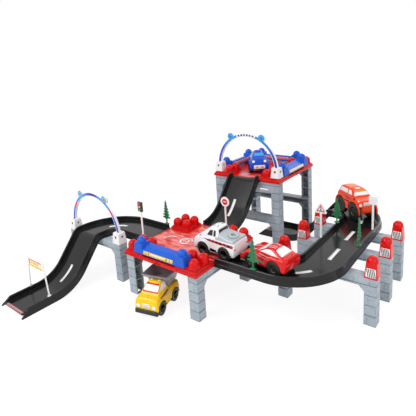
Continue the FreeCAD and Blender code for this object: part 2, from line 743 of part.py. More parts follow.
PICKUP = Vehicle("pickup", 62.0, 16.0, 58.0, 52.0, 0.0,
                 lower_outline(112.0, UNDER_GAP, 52.0, 24, 6), ((-20, 42), (-12, 22), 82.0, 8))
RACER = Vehicle("racer", 62.0, 16.0, 58.0, 34.0, 0.0,
                lower_outline(116.0, UNDER_GAP, 34.0, 34, 10, 8), ((-46, 26), (-30, 2), 57.0, 9))
SUV = Vehicle("suv", 58.0, 24.0, 62.0, 68.0, 8.0,
              lower_outline(104.0, UNDER_GAP + 8, 68.0, 18, 4), ((-48, 28), (-42, 10), 97.0, 6))
COUPE = Vehicle("coupe", 60.0, 16.0, 54.0, 40.0, 0.0,
                lower_outline(92.0, UNDER_GAP, 40.0, 26, 14, 10), ((-32, 24), (-20, 8), 62.0, 9))
DUMPER = Vehicle("dumper", 62.0, 16.0, 58.0, 44.0, 0.0,
                 lower_outline(106.0, UNDER_GAP, 44.0, 16, 6), ((8, 44), (18, 36), 77.0, 6))

# Dump truck bed: an open tray that sits on a block behind the cab
BED_LOW = 50.0
BED_RIM = 86.0
BED_LOW_X = (-56.0, -6.0)
BED_RIM_X = (-64.0, 12.0)
BED_LOW_HALF = 26.0
BED_RIM_HALF = 33.0
BED_WALL = 2.4
BED_CORNER = 3.0
BED_SEAT_L = 34.0
BED_SEAT_W = 30.0
BED_PEG_R = 4.0


def bed_loft(inset, low_z, high_z):
    """The bed's tapered block, drawn in by an inset."""
    sections = []
    for (x0, x1), half, z in ((BED_LOW_X, BED_LOW_HALF, low_z), (BED_RIM_X, BED_RIM_HALF, high_z)):
        sections.append(rounded_rectangle((x1 - x0) / 2 - inset, half - inset, BED_CORNER, z,
                                          (x0 + x1) / 2))
    return Part.makeLoft(sections, True, True)


def bed_middle_x():
    """Where the bed's peg stands along the truck."""
    return (BED_LOW_X[0] + BED_LOW_X[1]) / 2


def make_bed():
    """The open tray, with a hole in its floor for the peg."""
    tray = bed_loft(0, BED_LOW, BED_RIM).cut(bed_loft(BED_WALL, BED_LOW + BED_WALL, BED_RIM + 0.1))
    return tray.cut(cylinder(bed_middle_x(), 0, BED_LOW - 1, BED_PEG_R + SNAP_GAP, BED_WALL + 2))


def bed_seat(vehicle):
    """The block on the truck's frame that carries the bed, and its peg."""
    low = vehicle.belt - 1
    block = box(bed_middle_x() - BED_SEAT_L / 2, -BED_SEAT_W / 2, low, BED_SEAT_L, BED_SEAT_W,
                BED_LOW - low)
    return [block, cylinder(bed_middle_x(), 0, low, BED_PEG_R, BED_LOW + BED_WALL - low)]


# Where each vehicle stands
PICKUP_X = DECK - 15.0
PICKUP_Y = MID - 2.0
RACER_PATH_R = CURVE_R - 0.5
RACER_ANGLE = -96.7
SUV_PATH_R = CURVE_R - 3.0
SUV_ANGLE = 50.0
COUPE_X = MID - 6.0
COUPE_Y = TOWER_Y + 87.0
COUPE_ANGLE = -54.0
DUMPER_X = MID - 10.0
DUMPER_Y = 2.0
DUMPER_ANGLE = -76.0


def on_bend(centre_y, radius, angle):
    """A place on a right-hand bend and the heading there, from the angle about its centre."""
    a = math.radians(angle)
    return (RIGHT_CURVE_X + radius * math.cos(a), centre_y + radius * math.sin(a)), angle


def vehicle_places():
    """Each vehicle with its place, the level it stands on and its heading."""
    racer_xy, racer_angle = on_bend(FRONT_CURVE_Y, RACER_PATH_R, RACER_ANGLE)
    suv_xy, suv_angle = on_bend(BACK_CURVE_Y, SUV_PATH_R, SUV_ANGLE)
    return [(PICKUP, (PICKUP_X, PICKUP_Y), ROAD_LEVEL, 180.0),
            (RACER, racer_xy, ROAD_LEVEL, racer_angle - 90),
            (SUV, suv_xy, ROAD_LEVEL, suv_angle - 90),
            (COUPE, (COUPE_X, COUPE_Y), ROAD_LEVEL + GATE_H, COUPE_ANGLE),
            (DUMPER, (DUMPER_X, DUMPER_Y), 0.0, DUMPER_ANGLE)]


def build():
    """Make every piece and put it in its place."""
    gate = make_gate()
    deck = make_deck()
    add("lower_deck", placed(deck, DECK, 0, GATE_H, 90))
    add("tower_deck", placed(deck, 0, TOWER_Y, 2 * GATE_H))
    add("gate_left", placed(gate, LEFT_GATE_X, LEFT_GATE_Y))
    add("gate_deck_left", placed(gate, GATE_INSET, MID, 0, -90))
    add("gate_deck_right", placed(gate, DECK - GATE_INSET, MID, 0, 90))
    add("gate_tower_front_low", placed(gate, MID, TOWER_Y + GATE_INSET))
    add("gate_tower_front_high", placed(gate, MID, TOWER_Y + GATE_INSET, GATE_H))
    back = TOWER_Y + DECK - GATE_INSET
    add("gate_tower_back_low", placed(gate, MID, back, 0, 180))
    add("gate_tower_back_high", placed(gate, MID, back, GATE_H, 180))
    for index, name in enumerate(("front", "middle", "back")):
        add("gate_side_" + name, placed(gate, SIDE_X, SIDE_GATE_Y + index * SIDE_GATE_PITCH))

    level = ROAD_LEVEL
    add("track_left_straight", placed(make_straight(STRAIGHT_SHORT), 0, MID, level, 180))
    add("track_left_curve", placed(make_curve(), LEFT_CURVE_X, LEFT_CURVE_Y, level, 180))
    ramp = make_ramp(RAMP_LIP)
    end = make_end()
    ground = level - GATE_H
    add("track_left_ramp", placed(ramp, LEFT_LEG_X, LEFT_CURVE_Y, level, -90))
    add("track_left_end", placed(end, LEFT_LEG_X, LEFT_CURVE_Y - RAMP_LENGTH, ground, -90))
    add("track_tower_ramp", placed(make_ramp(0, True), MID, TOWER_Y, level + GATE_H, -90))
    straight = make_straight(STRAIGHT_LONG)
    curve = make_curve()
    add("track_front_straight", placed(straight, DECK, MID, level))
    add("track_front_curve", placed(curve, RIGHT_CURVE_X, FRONT_CURVE_Y, level))
    add("track_side_straight_near", placed(straight, SIDE_X, FRONT_CURVE_Y, level, 90))
    add("track_side_straight_far",
        placed(straight, SIDE_X, FRONT_CURVE_Y + STRAIGHT_LONG, level, 90))
    add("track_back_curve", placed(curve, RIGHT_CURVE_X, BACK_CURVE_Y, level, 90))
    add("track_back_ramp", placed(ramp, RIGHT_CURVE_X, BACK_LEG_Y, level, 180))
    add("track_back_end", placed(end, RIGHT_CURVE_X - RAMP_LENGTH, BACK_LEG_Y, ground, 180))

    railing = make_railing()
    pad_z = PAD_LEVEL
    add("railing_lower", placed(railing, PITCH, 0, pad_z))
    tower_z = pad_z + GATE_H
    far = TOWER_Y + DECK
    add("railing_tower_left", placed(railing, 0, far - PITCH, tower_z, -90))
    add("railing_tower_back", placed(railing, DECK - PITCH, far, tower_z, 180))
    add("railing_tower_right", placed(railing, DECK, TOWER_Y + PITCH, tower_z, 90))

    leg_x = GATE_PEG_SPAN / 2
    block = make_arch_block()
    arch = make_arch()
    arch_places = [("left", LEFT_GATE_X, LEFT_GATE_Y + GATE_D / 2, GATE_H),
                   ("tower", MID, TOWER_Y + PITCH / 2, tower_z)]
    for name, x, y, z in arch_places:
        add("arch_" + name, placed(arch, x, y, z))
        blocks = [placed(block, x + side * leg_x, y, z) for side in (-1, 1)]
        add("arch_blocks_" + name, Part.makeCompound(blocks))

    cap = make_cap()
    caps = []
    for index in range(3):
        y = SIDE_GATE_Y + index * SIDE_GATE_PITCH + GATE_D / 2
        for side in (-1, 1):
            caps.append(placed(cap, SIDE_X + side * leg_x, y, GATE_H))
    add("gate_caps", Part.makeCompound(caps))

    wall_z = level + ROAD_WALL_RISE
    wall = wall_middle()
    gantry_y = LEFT_CURVE_Y - RAMP_LENGTH - GANTRY_SETBACK
    add("sign_gantry", placed(make_gantry(), LEFT_LEG_X, gantry_y, wall_z - GATE_H))
    add("sign_traffic_light", placed(make_traffic_light(), -SIGN_FROM_DECK, MID - wall, wall_z))
    add("sign_round", placed(make_round_sign(), DECK - PAD - ROUND_SIGN_ASIDE,
                             DECK - ROUND_SIGN_SETBACK, level))
    near_sign_y = SIDE_GATE_Y + SIDE_GATE_PITCH - SIGN_BEFORE_GATE
    far_sign_y = near_sign_y + SIDE_GATE_PITCH
    add("sign_triangle", placed(make_triangle_sign(), SIDE_X - wall, near_sign_y, wall_z))
    add("sign_square", placed(make_square_sign(), SIDE_X + wall, far_sign_y, wall_z))
    trees = [placed(make_tree(0), -SIGN_FROM_DECK, MID + wall, wall_z),
             placed(make_tree(0), RIGHT_CURVE_X - FRONT_TREE_SETBACK, MID - wall, wall_z),
             placed(make_tree(90), SIDE_X - wall, far_sign_y, wall_z),
             placed(make_tree(0), SIDE_X + wall, near_sign_y, wall_z, 90)]
    add("trees", Part.makeCompound(trees))

    for vehicle, (x, y), z, turn in vehicle_places():
        lift = z + GROUND_GAP
        body = vehicle.body()
        if vehicle is DUMPER:
            body = body.fuse(bed_seat(vehicle)).removeSplitter()
            add("dumper_bed", placed(make_bed(), x, y, lift, turn))
        add(vehicle.name + "_body", placed(body, x, y, lift, turn))
        add(vehicle.name + "_chassis", placed(vehicle.chassis(), x, y, lift, turn))
        add(vehicle.name + "_front_wheels", placed(vehicle.axle(1), x, y, lift, turn))
        add(vehicle.name + "_rear_wheels", placed(vehicle.axle(-1), x, y, lift, turn))


build()
os.makedirs("parts", exist_ok=True)
for part_name, part_shape in PARTS.items():
    part_shape.exportStep("parts/" + part_name + ".step")
    print(part_name, len(part_shape.Solids), part_shape.isValid())
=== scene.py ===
"""The looks of a toy race track: moulded plastic, stickers, tyres and the studio around them.

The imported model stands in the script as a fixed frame. Each class dresses one sub-assembly of it.
Sizes are in millimetres in the fields and become metres where a mesh is made.
"""
import json
import logging
import math
from dataclasses import dataclass, field
from enum import Enum
from typing import Callable, Sequence

import bmesh
import bpy
from mathutils import Matrix, Vector
from mathutils.bvhtree import BVHTree


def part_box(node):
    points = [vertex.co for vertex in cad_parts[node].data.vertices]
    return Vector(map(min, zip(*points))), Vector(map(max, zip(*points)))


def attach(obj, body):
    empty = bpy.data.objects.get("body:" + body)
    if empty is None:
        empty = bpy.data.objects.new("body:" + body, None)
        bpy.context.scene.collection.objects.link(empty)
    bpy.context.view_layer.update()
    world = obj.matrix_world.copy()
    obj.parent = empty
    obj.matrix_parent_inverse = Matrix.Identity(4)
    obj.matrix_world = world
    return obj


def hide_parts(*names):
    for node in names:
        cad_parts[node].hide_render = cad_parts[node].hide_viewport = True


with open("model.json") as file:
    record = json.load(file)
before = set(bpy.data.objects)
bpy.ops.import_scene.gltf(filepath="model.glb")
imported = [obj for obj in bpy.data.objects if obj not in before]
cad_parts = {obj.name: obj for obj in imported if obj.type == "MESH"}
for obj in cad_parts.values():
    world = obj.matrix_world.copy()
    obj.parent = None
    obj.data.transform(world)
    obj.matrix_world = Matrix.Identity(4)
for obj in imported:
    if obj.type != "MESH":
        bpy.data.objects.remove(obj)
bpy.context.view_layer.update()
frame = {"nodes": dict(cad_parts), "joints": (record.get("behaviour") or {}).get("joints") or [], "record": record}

LOG = logging.getLogger("race_track")
MM = 0.001
RELIEF_MM = 1.2
GRAIN_MM = 0.2
NODES: dict[str, bpy.types.Object] = frame["nodes"]
JOINTS: dict[str, dict] = {joint["name"]: joint for joint in frame["joints"]}
SLOT_OF: dict[str, str] = {part["node"]: part["material_slot"]
                           for part in frame["record"]["subparts"]}
BODY_OF: dict[str, str] = {node: body
                           for body, nodes in frame["record"]["behaviour"]["bodies"].items()
                           for node in nodes}

Colour = tuple[float, float, float]
Point2 = tuple[float, float]
Outline = list[Point2]
Node = bpy.types.Node
Socket = bpy.types.NodeSocket
Tree = bpy.types.NodeTree
Form = bmesh.types.BMesh
Mesh = bpy.types.Mesh
Piece = bpy.types.Object


def srgb(red: int, green: int, blue: int) -> Colour:
    """A linear colour from three display values of 0 to 255."""
    def channel(value: int) -> float:
        share = value / 255.0
        return share / 12.92 if share <= 0.04045 else ((share + 0.055) / 1.055) ** 2.4
    return channel(red), channel(green), channel(blue)


# Shader groups


def link(tree: Tree, start: Socket, end: Socket) -> None:
    """Join two sockets."""
    tree.links.new(start, end)


def feed(tree: Tree, target: Socket, value: Socket | float | Sequence[float]) -> None:
    """Link a socket to a target, or set the target's own value."""
    if isinstance(value, bpy.types.NodeSocket):
        tree.links.new(value, target)
    else:
        target.default_value = value


def made(tree: Tree, kind: str, **inputs: Socket | float | Sequence[float]) -> Node:
    """Add a node and feed its inputs.

    Args:
        tree: The node tree to build in.
        kind: The node's type.
        inputs: A socket or value for each input, by the input's name.

    Returns:
        The node.
    """
    node = tree.nodes.new(kind)
    for name, value in inputs.items():
        feed(tree, node.inputs[name], value)
    return node


def maths(tree: Tree, operation: str, first: Socket | float, second: Socket | float = 0.0,
          clamp: bool = False) -> Socket:
    """One Math node.

    Args:
        tree: The node tree to build in.
        operation: The node's operation.
        first: The first value or socket.
        second: The second value or socket.
        clamp: Whether the result is kept from 0 to 1.

    Returns:
        The result's socket.
    """
    node = tree.nodes.new("ShaderNodeMath")
    node.operation = operation
    node.use_clamp = clamp
    feed(tree, node.inputs[0], first)
    if operation not in ("ABSOLUTE", "FRACT", "FLOOR", "SQRT"):
        feed(tree, node.inputs[1], second)
    return node.outputs[0]


def blend_colours(tree: Tree, share: Socket | float, first: Socket | Sequence[float],
                  second: Socket | Sequence[float]) -> Socket:
    """Mix two colours.

    Args:
        tree: The node tree to build in.
        share: How much of the second colour shows.
        first: The first colour or socket.
        second: The second colour or socket.

    Returns:
        The mixed colour's socket.
    """
    node = tree.nodes.new("ShaderNodeMix")
    node.data_type = "RGBA"
    feed(tree, node.inputs["Factor"], share)
    feed(tree, node.inputs[6], first)
    feed(tree, node.inputs[7], second)
    return node.outputs[2]


def noise(tree: Tree, place: Socket, scale: Socket | float, detail: float = 3.0) -> Socket:
    """A noise from 0 to 1 on a place.

    Args:
        tree: The node tree to build in.
        place: The coordinate's socket.
        scale: Waves for each metre.
        detail: Octaves of finer noise.

    Returns:
        The noise's socket.
    """
    node = made(tree, "ShaderNodeTexNoise", Vector=place, Scale=scale, Detail=detail)
    return node.outputs["Fac"]


def object_place(tree: Tree) -> Socket:
    """The place on the object, in metres."""
    return tree.nodes.new("ShaderNodeTexCoord").outputs["Object"]


def stretched(tree: Tree, scale: Sequence[float], turn: float = 0.0) -> Socket:
    """The place on the object, turned about Z by an angle in degrees and then stretched."""
    return made(tree, "ShaderNodeMapping", Rotation=(0.0, 0.0, math.radians(turn)), Scale=scale,
                Vector=object_place(tree)).outputs[0]


def axis_of(tree: Tree, place: Socket) -> tuple[Socket, Socket, Socket]:
    """The X, Y and Z of a place."""
    return tuple(made(tree, "ShaderNodeSeparateXYZ", Vector=place).outputs)


def moulded_skin() -> Tree:
    """The shared group for moulded plastic: mottled colour, uneven gloss, soft edges with a painted highlight, and
    grain.

    Returns:
        The group's tree.
    """
    known = bpy.data.node_groups.get("moulded_skin")
    if known is not None:
        return known
    tree = bpy.data.node_groups.new("moulded_skin", "ShaderNodeTree")
    for name, kind in (("Colour", "Color"), ("Roughness", "Float"), ("Mottle", "Float"),
                       ("Mottle Size", "Float"), ("Grain", "Float"), ("Grain Size", "Float"),
                       ("Edge Radius", "Float"), ("Edge Light", "Float"), ("Height", "Float")):
        tree.interface.new_socket(name, in_out="INPUT", socket_type="NodeSocket" + kind)
    for name, kind in (("Colour", "Color"), ("Roughness", "Float"), ("Normal", "Vector")):
        tree.interface.new_socket(name, in_out="OUTPUT", socket_type="NodeSocket" + kind)
    given = tree.nodes.new("NodeGroupInput").outputs
    put = tree.nodes.new("NodeGroupOutput").inputs
    place = object_place(tree)
    broad = noise(tree, place, maths(tree, "DIVIDE", 1.0, given["Mottle Size"]))
    tone = maths(tree, "MULTIPLY", maths(tree, "SUBTRACT", broad, 0.5), given["Mottle"])
    brighter = made(tree, "ShaderNodeHueSaturation", Color=given["Colour"],
                    Value=maths(tree, "ADD", 1.0, maths(tree, "MULTIPLY", tone, 2.0)))
    rounded = made(tree, "ShaderNodeBevel", Radius=given["Edge Radius"])
    rounded.samples = 4
    flat = tree.nodes.new("ShaderNodeNewGeometry")
    alike = tree.nodes.new("ShaderNodeVectorMath")
    alike.operation = "DOT_PRODUCT"
    link(tree, rounded.outputs[0], alike.inputs[0])
    link(tree, flat.outputs["Normal"], alike.inputs[1])
    edge = maths(tree, "MULTIPLY", maths(tree, "SUBTRACT", 1.0, alike.outputs["Value"]), 4.0, True)
    # Painted highlight: the colour pales towards white along edges, where the bevel normal turns away from the
    # face's own.
    painted_edge_highlight = maths(tree, "MULTIPLY", edge, given["Edge Light"])
    pale = blend_colours(tree, painted_edge_highlight, brighter.outputs[0], (0.95, 0.95, 0.95, 1.0))
    link(tree, pale, put["Colour"])
    smudge = noise(tree, place, 90.0, 4.0)
    uneven = maths(tree, "MULTIPLY", maths(tree, "SUBTRACT", smudge, 0.5), 0.35)
    wanted = maths(tree, "MULTIPLY", given["Roughness"], maths(tree, "ADD", 1.0, uneven), True)
    link(tree, wanted, put["Roughness"])
    fine = noise(tree, place, maths(tree, "DIVIDE", 1.0, given["Grain Size"]), 2.0)
    relief = made(tree, "ShaderNodeBump", Distance=RELIEF_MM * MM, Height=given["Height"],
                  Normal=rounded.outputs[0])
    bump = made(tree, "ShaderNodeBump", Distance=GRAIN_MM * MM, Strength=given["Grain"],
                Height=fine, Normal=relief.outputs[0])
    link(tree, bump.outputs[0], put["Normal"])
    return tree


# Finishes


@dataclass(frozen=True)
class Plastic:
    """A moulded plastic: its colour, how glossy it is and how its skin varies."""

    name: str
    colour: Colour
    roughness: float = 0.3
    mottle: float = 0.05
    mottle_mm: float = 25.0
    grain: float = 0.06
    grain_mm: float = 0.9
    edge_mm: float = 0.7
    # How strongly a painted highlight pales the edges.
    edge_light: float = 0.12
    coat: float = 0.0
    specular: float = 0.5

    def paint(self, tree: Tree) -> Socket | Sequence[float]:
        """The colour that the skin starts from."""
        return (*self.colour, 1.0)

    def height(self, tree: Tree) -> Socket | float:
        """The relief that the skin stands on, from 0 to 1."""
        return 0.0

    def build(self) -> bpy.types.Material:
        """Make the material, or return it if it is there already."""
        if self.name in bpy.data.materials:
            return bpy.data.materials[self.name]
        material = bpy.data.materials.new(self.name)
        material.use_nodes = True
        material.diffuse_color = (*self.colour, 1.0)
        tree = material.node_tree
        shader = tree.nodes["Principled BSDF"]
        shader.inputs["Coat Weight"].default_value = self.coat
        shader.inputs["Coat Roughness"].default_value = 0.05
        shader.inputs["Specular IOR Level"].default_value = self.specular
        skin = tree.nodes.new("ShaderNodeGroup")
        skin.node_tree = moulded_skin()
        for name, value in (
                ("Colour", self.paint(tree)), ("Height", self.height(tree)),
                ("Roughness", self.roughness), ("Mottle", self.mottle),
                ("Mottle Size", self.mottle_mm * MM), ("Grain", self.grain),
                ("Grain Size", self.grain_mm * MM), ("Edge Radius", self.edge_mm * MM),
                ("Edge Light", self.edge_light)):
            feed(tree, skin.inputs[name], value)
        for name, socket in (("Colour", "Base Color"), ("Roughness", "Roughness"),
                             ("Normal", "Normal")):
            link(tree, skin.outputs[name], shader.inputs[socket])
        return material


@dataclass(frozen=True)
class Brick(Plastic):
    """Grey plastic moulded as rough stone courses with darker joints."""

    course_mm: float = 22.0
    stone_mm: float = 31.0
    joint_mm: float = 1.3
    flatten: tuple[float, float, float] = (1.0, 1.0, 2.6)
    dark: Colour = srgb(96, 104, 112)
    light: Colour = srgb(188, 199, 208)

    def joints(self, tree: Tree) -> tuple[Socket, Socket]:
        """The mask of the joints between stones, and a chance value for each stone.

        Args:
            tree: The material's node tree.

        Returns:
            The mask's socket and the chance's socket.
        """
        x, y, z = axis_of(tree, object_place(tree))
        level = maths(tree, "DIVIDE", z, self.course_mm * MM)
        course = maths(tree, "FLOOR", level)
        along = maths(tree, "DIVIDE", maths(tree, "ADD", x, y), self.stone_mm * MM)
        shifted = maths(tree, "ADD", along, maths(tree, "MULTIPLY", course, 0.47))
        masks = []
        for line, pitch in ((level, self.course_mm), (shifted, self.stone_mm)):
            off = maths(tree, "ABSOLUTE", maths(tree, "SUBTRACT", maths(tree, "FRACT", line), 0.5))
            near = maths(tree, "SUBTRACT", off, 0.5 - self.joint_mm / pitch)
            mask = maths(tree, "MULTIPLY", near, pitch / self.joint_mm, True)
            masks.append(maths(tree, "MULTIPLY", mask, 1.0 if line is level else 0.5))
        key = tree.nodes.new("ShaderNodeCombineXYZ")
        link(tree, maths(tree, "FLOOR", shifted), key.inputs[0])
        link(tree, course, key.inputs[1])
        chance = tree.nodes.new("ShaderNodeTexWhiteNoise")
        link(tree, key.outputs[0], chance.inputs["Vector"])
        return maths(tree, "MAXIMUM", *masks), chance.outputs["Value"]

    def paint(self, tree: Tree) -> Socket:
        """Stone tones that change from block to block, with dark joints.

        Args:
            tree: The material's node tree.

        Returns:
            The colour's socket.
        """
        joint, chance = self.joints(tree)
        rough = noise(tree, stretched(tree, self.flatten), 150.0, 5.0)
        share = maths(tree, "ADD", maths(tree, "MULTIPLY", chance, 0.3),
                      maths(tree, "MULTIPLY", rough, 0.7), True)
        stone = blend_colours(tree, share, (*self.colour, 1.0), (*self.light, 1.0))
        return blend_colours(tree, maths(tree, "MULTIPLY", joint, 0.6), stone, (*self.dark, 1.0))

    def height(self, tree: Tree) -> Socket:
        """Rough stones that bulge between sunk joints.

        Args:
            tree: The material's node tree.

        Returns:
            The height's socket.
        """
        joint, _ = self.joints(tree)
        rough = noise(tree, stretched(tree, self.flatten), 110.0, 4.0)
        return maths(tree, "SUBTRACT", rough, joint)


@dataclass(frozen=True)
class Stemmed(Plastic):
    """Plastic that is another colour below a height."""

    stem: Colour = (0.9, 0.9, 0.9)
    stem_top: float = 187.0

    def paint(self, tree: Tree) -> Socket:
        """The head's colour above the height and the stem's below it."""
        _, _, z = axis_of(tree, object_place(tree))
        below = maths(tree, "LESS_THAN", z, self.stem_top * MM)
        return blend_colours(tree, below, (*self.colour, 1.0), (*self.stem, 1.0))


@dataclass(frozen=True)
class Road(Plastic):
    """Glossy black road plastic with fine scuffs along it."""

    scuff: Colour = srgb(58, 58, 60)

    def paint(self, tree: Tree) -> Socket:
        """The road's dark colour with paler scuffs."""
        fine = noise(tree, object_place(tree), 900.0, 6.0)
        marks = maths(tree, "MULTIPLY", maths(tree, "SUBTRACT", fine, 0.58), 5.0, True)
        return blend_colours(tree, maths(tree, "MULTIPLY", marks, 0.35), (*self.colour, 1.0),
                             (*self.scuff, 1.0))


@dataclass(frozen=True)
class ArchPrint(Plastic):
    """The printed front of an arch: stops of colour round the band between two white rims."""

    centre_x: float = 0.0
    centre_z: float = 0.0
    radius: float = 100.0
    band: float = 9.0
    rim: float = 1.3
    stops: tuple[tuple[float, Colour], ...] = ()

    def paint(self, tree: Tree) -> Socket:
        """White plastic that shows the print on the band's front.

        Args:
            tree: The material's node tree.

        Returns:
            The colour's socket.
        """
        x, _, z = axis_of(tree, object_place(tree))
        across = maths(tree, "SUBTRACT", x, self.centre_x * MM)
        height = maths(tree, "SUBTRACT", z, self.centre_z * MM)
        reach = maths(tree, "SQRT", maths(tree, "ADD", maths(tree, "MULTIPLY", across, across),
                                          maths(tree, "MULTIPLY", height, height)))
        off = maths(tree, "ABSOLUTE", maths(tree, "SUBTRACT", reach, self.radius * MM))
        inside = maths(tree, "LESS_THAN", off, (self.band / 2 - self.rim) * MM)
        angle = maths(tree, "ABSOLUTE", maths(tree, "ARCTAN2", across, height))
        ramp = tree.nodes.new("ShaderNodeValToRGB")
        ramp.color_ramp.interpolation = "EASE"
        elements = ramp.color_ramp.elements
        while len(elements) < len(self.stops):
            elements.new(0.5)
        for element, (degrees, colour) in zip(elements, self.stops):
            element.position = degrees / 90.0
            element.color = (*colour, 1.0)
        link(tree, maths(tree, "DIVIDE", angle, math.pi / 2), ramp.inputs[0])
        face = tree.nodes.new("ShaderNodeNewGeometry")
        _, toward, _ = axis_of(tree, face.outputs["True Normal"])
        front = maths(tree, "LESS_THAN", toward, -0.5)
        return blend_colours(tree, maths(tree, "MULTIPLY", inside, front), (*self.colour, 1.0),
                             ramp.outputs[0])


@dataclass(frozen=True)
class Print(Plastic):
    """Ink on a glossy vinyl sticker."""

    roughness: float = 0.22
    mottle: float = 0.03
    mottle_mm: float = 6.0
    grain: float = 0.02
    edge_mm: float = 0.2
    edge_light: float = 0.0
    coat: float = 0.15


@dataclass(frozen=True)
class Streaky(Print):
    """Ink with pale streaks of painted reflection, as light shows on a glossy road print."""

    painted_reflection: Colour = srgb(252, 150, 140)
    painted_reflection_mm: float = 26.0
    amount: float = 0.8

    def paint(self, tree: Tree) -> Socket:
        """The ink's colour with paler, stretched streaks of painted reflection."""
        waves = noise(tree, stretched(tree, (1.0, 3.2, 1.0), -38.0),
                      1.0 / (self.painted_reflection_mm * MM), 3.0)
        share = maths(tree, "MULTIPLY", maths(tree, "SUBTRACT", waves, 0.38), 3.2, True)
        # Painted reflection: pale, stretched streaks are mixed into the ink.
        return blend_colours(tree, maths(tree, "MULTIPLY", share, self.amount),
                             (*self.colour, 1.0), (*self.painted_reflection, 1.0))


WHITE_INK = Print("ink_white", srgb(244, 244, 244))
BLACK_INK = Print("ink_black", srgb(24, 24, 26))
RED_INK = Print("ink_red", srgb(226, 26, 30))
DARK_RED_INK = Print("ink_dark_red", srgb(120, 16, 22))
YELLOW_INK = Print("ink_yellow", srgb(250, 214, 38))
ORANGE_INK = Print("ink_orange", srgb(246, 152, 62))
CREAM_INK = Print("ink_cream", srgb(250, 232, 190))
GOLD_INK = Print("ink_gold", srgb(232, 158, 44))
GREEN_INK = Print("ink_green", srgb(34, 156, 66))
SKY_INK = Print("ink_sky", srgb(52, 168, 240))
NAVY_INK = Print("ink_navy", srgb(34, 30, 110))
STONE_INK = Print("ink_stone", srgb(182, 178, 168))
GREY_INK = Print("ink_grey", srgb(150, 156, 162))
PINK_INK = Print("ink_pink", srgb(232, 160, 160))
ROSE_INK = Print("ink_rose", srgb(214, 132, 136))
GLASS_BLACK = Print("ink_glass_black", srgb(20, 22, 25), roughness=0.08)
ROOF_INK = Print("ink_roof_pale", srgb(250, 112, 66))
COVER = Plastic("plastic_cover_grey", srgb(176, 184, 190), 0.2, coat=0.3)
# Red road print with streaks of painted reflection.
ROAD_PRINT = Streaky("ink_road_red", srgb(214, 26, 24))
LAMP_WHITE = Plastic("plastic_lamp_white", srgb(246, 246, 248), 0.12, coat=0.5)
LAMP_RED = Plastic("plastic_lamp_red", srgb(222, 44, 44), 0.15, coat=0.5)
LAMP_AMBER = Plastic("plastic_lamp_amber", srgb(244, 190, 52), 0.15, coat=0.5)
LAMP_GREEN = Plastic("plastic_lamp_green", srgb(44, 170, 84), 0.15, coat=0.5)
TYRE = Plastic("rubber_tyre_black", srgb(24, 24, 25), 0.42, 0.08, 6.0, 0.25, 0.5, 0.3, 0.05)
HUB = Plastic("plastic_hub_black", srgb(30, 30, 32), 0.22, 0.05, 8.0, 0.03, 0.8, 0.3, 0.06)

SLOT_FINISHES = {
    "deck_red": Plastic("plastic_deck_red", srgb(214, 12, 10), 0.2, specular=0.2),
    "cap_red": Plastic("plastic_cap_red", srgb(218, 14, 12), 0.17, specular=0.24),
    "rail_blue": Plastic("plastic_rail_blue", srgb(28, 92, 206), 0.24, specular=0.24),
    "arch_blue": Plastic("plastic_arch_white", srgb(242, 244, 248), 0.3),
    "brick_grey": Brick("plastic_brick_grey", srgb(138, 152, 164), 0.5, 0.08, 9.0, 0.7, 3.2,
                        0.8, 0.2),
    "road_black": Road("plastic_road_black", srgb(24, 24, 25), 0.16, 0.1, 30.0, 0.08, 0.7, 1.0,
                       0.06, specular=0.3),
    "block_white": Plastic("plastic_block_white", srgb(243, 240, 240), 0.3),
    "tree_green": Plastic("plastic_tree_green", srgb(14, 112, 62), 0.35, 0.12, 8.0, 0.2, 1.4),
    "sign_white": Plastic("plastic_sign_white", srgb(243, 243, 243), 0.3),
    "signal_grey": Stemmed("plastic_signal_dark", srgb(52, 50, 54), 0.3),
    "pickup_white": Plastic("paint_pickup_white", srgb(238, 238, 241), 0.16, specular=0.28),
    "racer_red": Plastic("paint_racer_red", srgb(218, 18, 18), 0.15, specular=0.28),
    "suv_orange": Plastic("paint_suv_orange", srgb(240, 66, 10), 0.17, specular=0.28),
    "coupe_blue": Plastic("paint_coupe_blue", srgb(18, 72, 196), 0.15, specular=0.28),
    "bed_grey": Plastic("plastic_bed_grey", srgb(132, 132, 138), 0.3, 0.08, 12.0, 0.15),
    "dumper_yellow": Plastic("paint_dumper_yellow", srgb(248, 200, 20), 0.16, specular=0.28),
    "wheel_black": HUB,
    "chassis_black": Plastic("plastic_chassis_black", srgb(30, 30, 31), 0.4),
}


def dress_nodes() -> None:
    """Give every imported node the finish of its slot."""
    for node, slot in SLOT_OF.items():
        NODES[node].data.materials.clear()
        NODES[node].data.materials.append(SLOT_FINISHES[slot].build())
        LOG.info("%s wears %s", node, slot)


# Places, outlines and pieces


class Side(Enum):
    """From which side of its place a sticker is laid on."""

    LEFT = "left"
    RIGHT = "right"
    TOP = "top"
    FRONT = "front"
    BACK = "back"


@dataclass(frozen=True)
class Place:
    """A place in the model with its own forwards; its left lies to +Y of its forwards."""

    origin: Vector
    forward: Vector = Vector((1.0, 0.0, 0.0))

    def matrix(self) -> Matrix:
        """The place's turn and origin as one matrix, in metres."""
        ahead = self.forward.normalized()
        up = Vector((0.0, 0.0, 1.0))
        turn = Matrix((ahead, up.cross(ahead), up)).transposed().to_4x4()
        return Matrix.Translation(self.origin) @ turn

    def ray(self, side: Side, a: float, b: float, far: float = 400.0) -> tuple[Vector, Vector]:
        """Where a sticker's point starts from outside, and the way it travels.

        Args:
            side: The side that the sticker is laid on from.
            a: The point's first measure on that side, in millimetres.
            b: Its second measure.
            far: How far outside it starts.

        Returns:
            The start and the direction.
        """
        local = {Side.LEFT: ((a, far, b), (0, -1, 0)), Side.RIGHT: ((a, -far, b), (0, 1, 0)),
                 Side.TOP: ((a, b, far), (0, 0, -1)), Side.FRONT: ((far, a, b), (-1, 0, 0)),
                 Side.BACK: ((-far, a, b), (1, 0, 0))}[side]
        here = self.matrix()
        return here @ (Vector(local[0]) * MM), (here.to_3x3() @ Vector(local[1])).normalized()


FRONTWARDS = Vector((0.0, -1.0, 0.0))


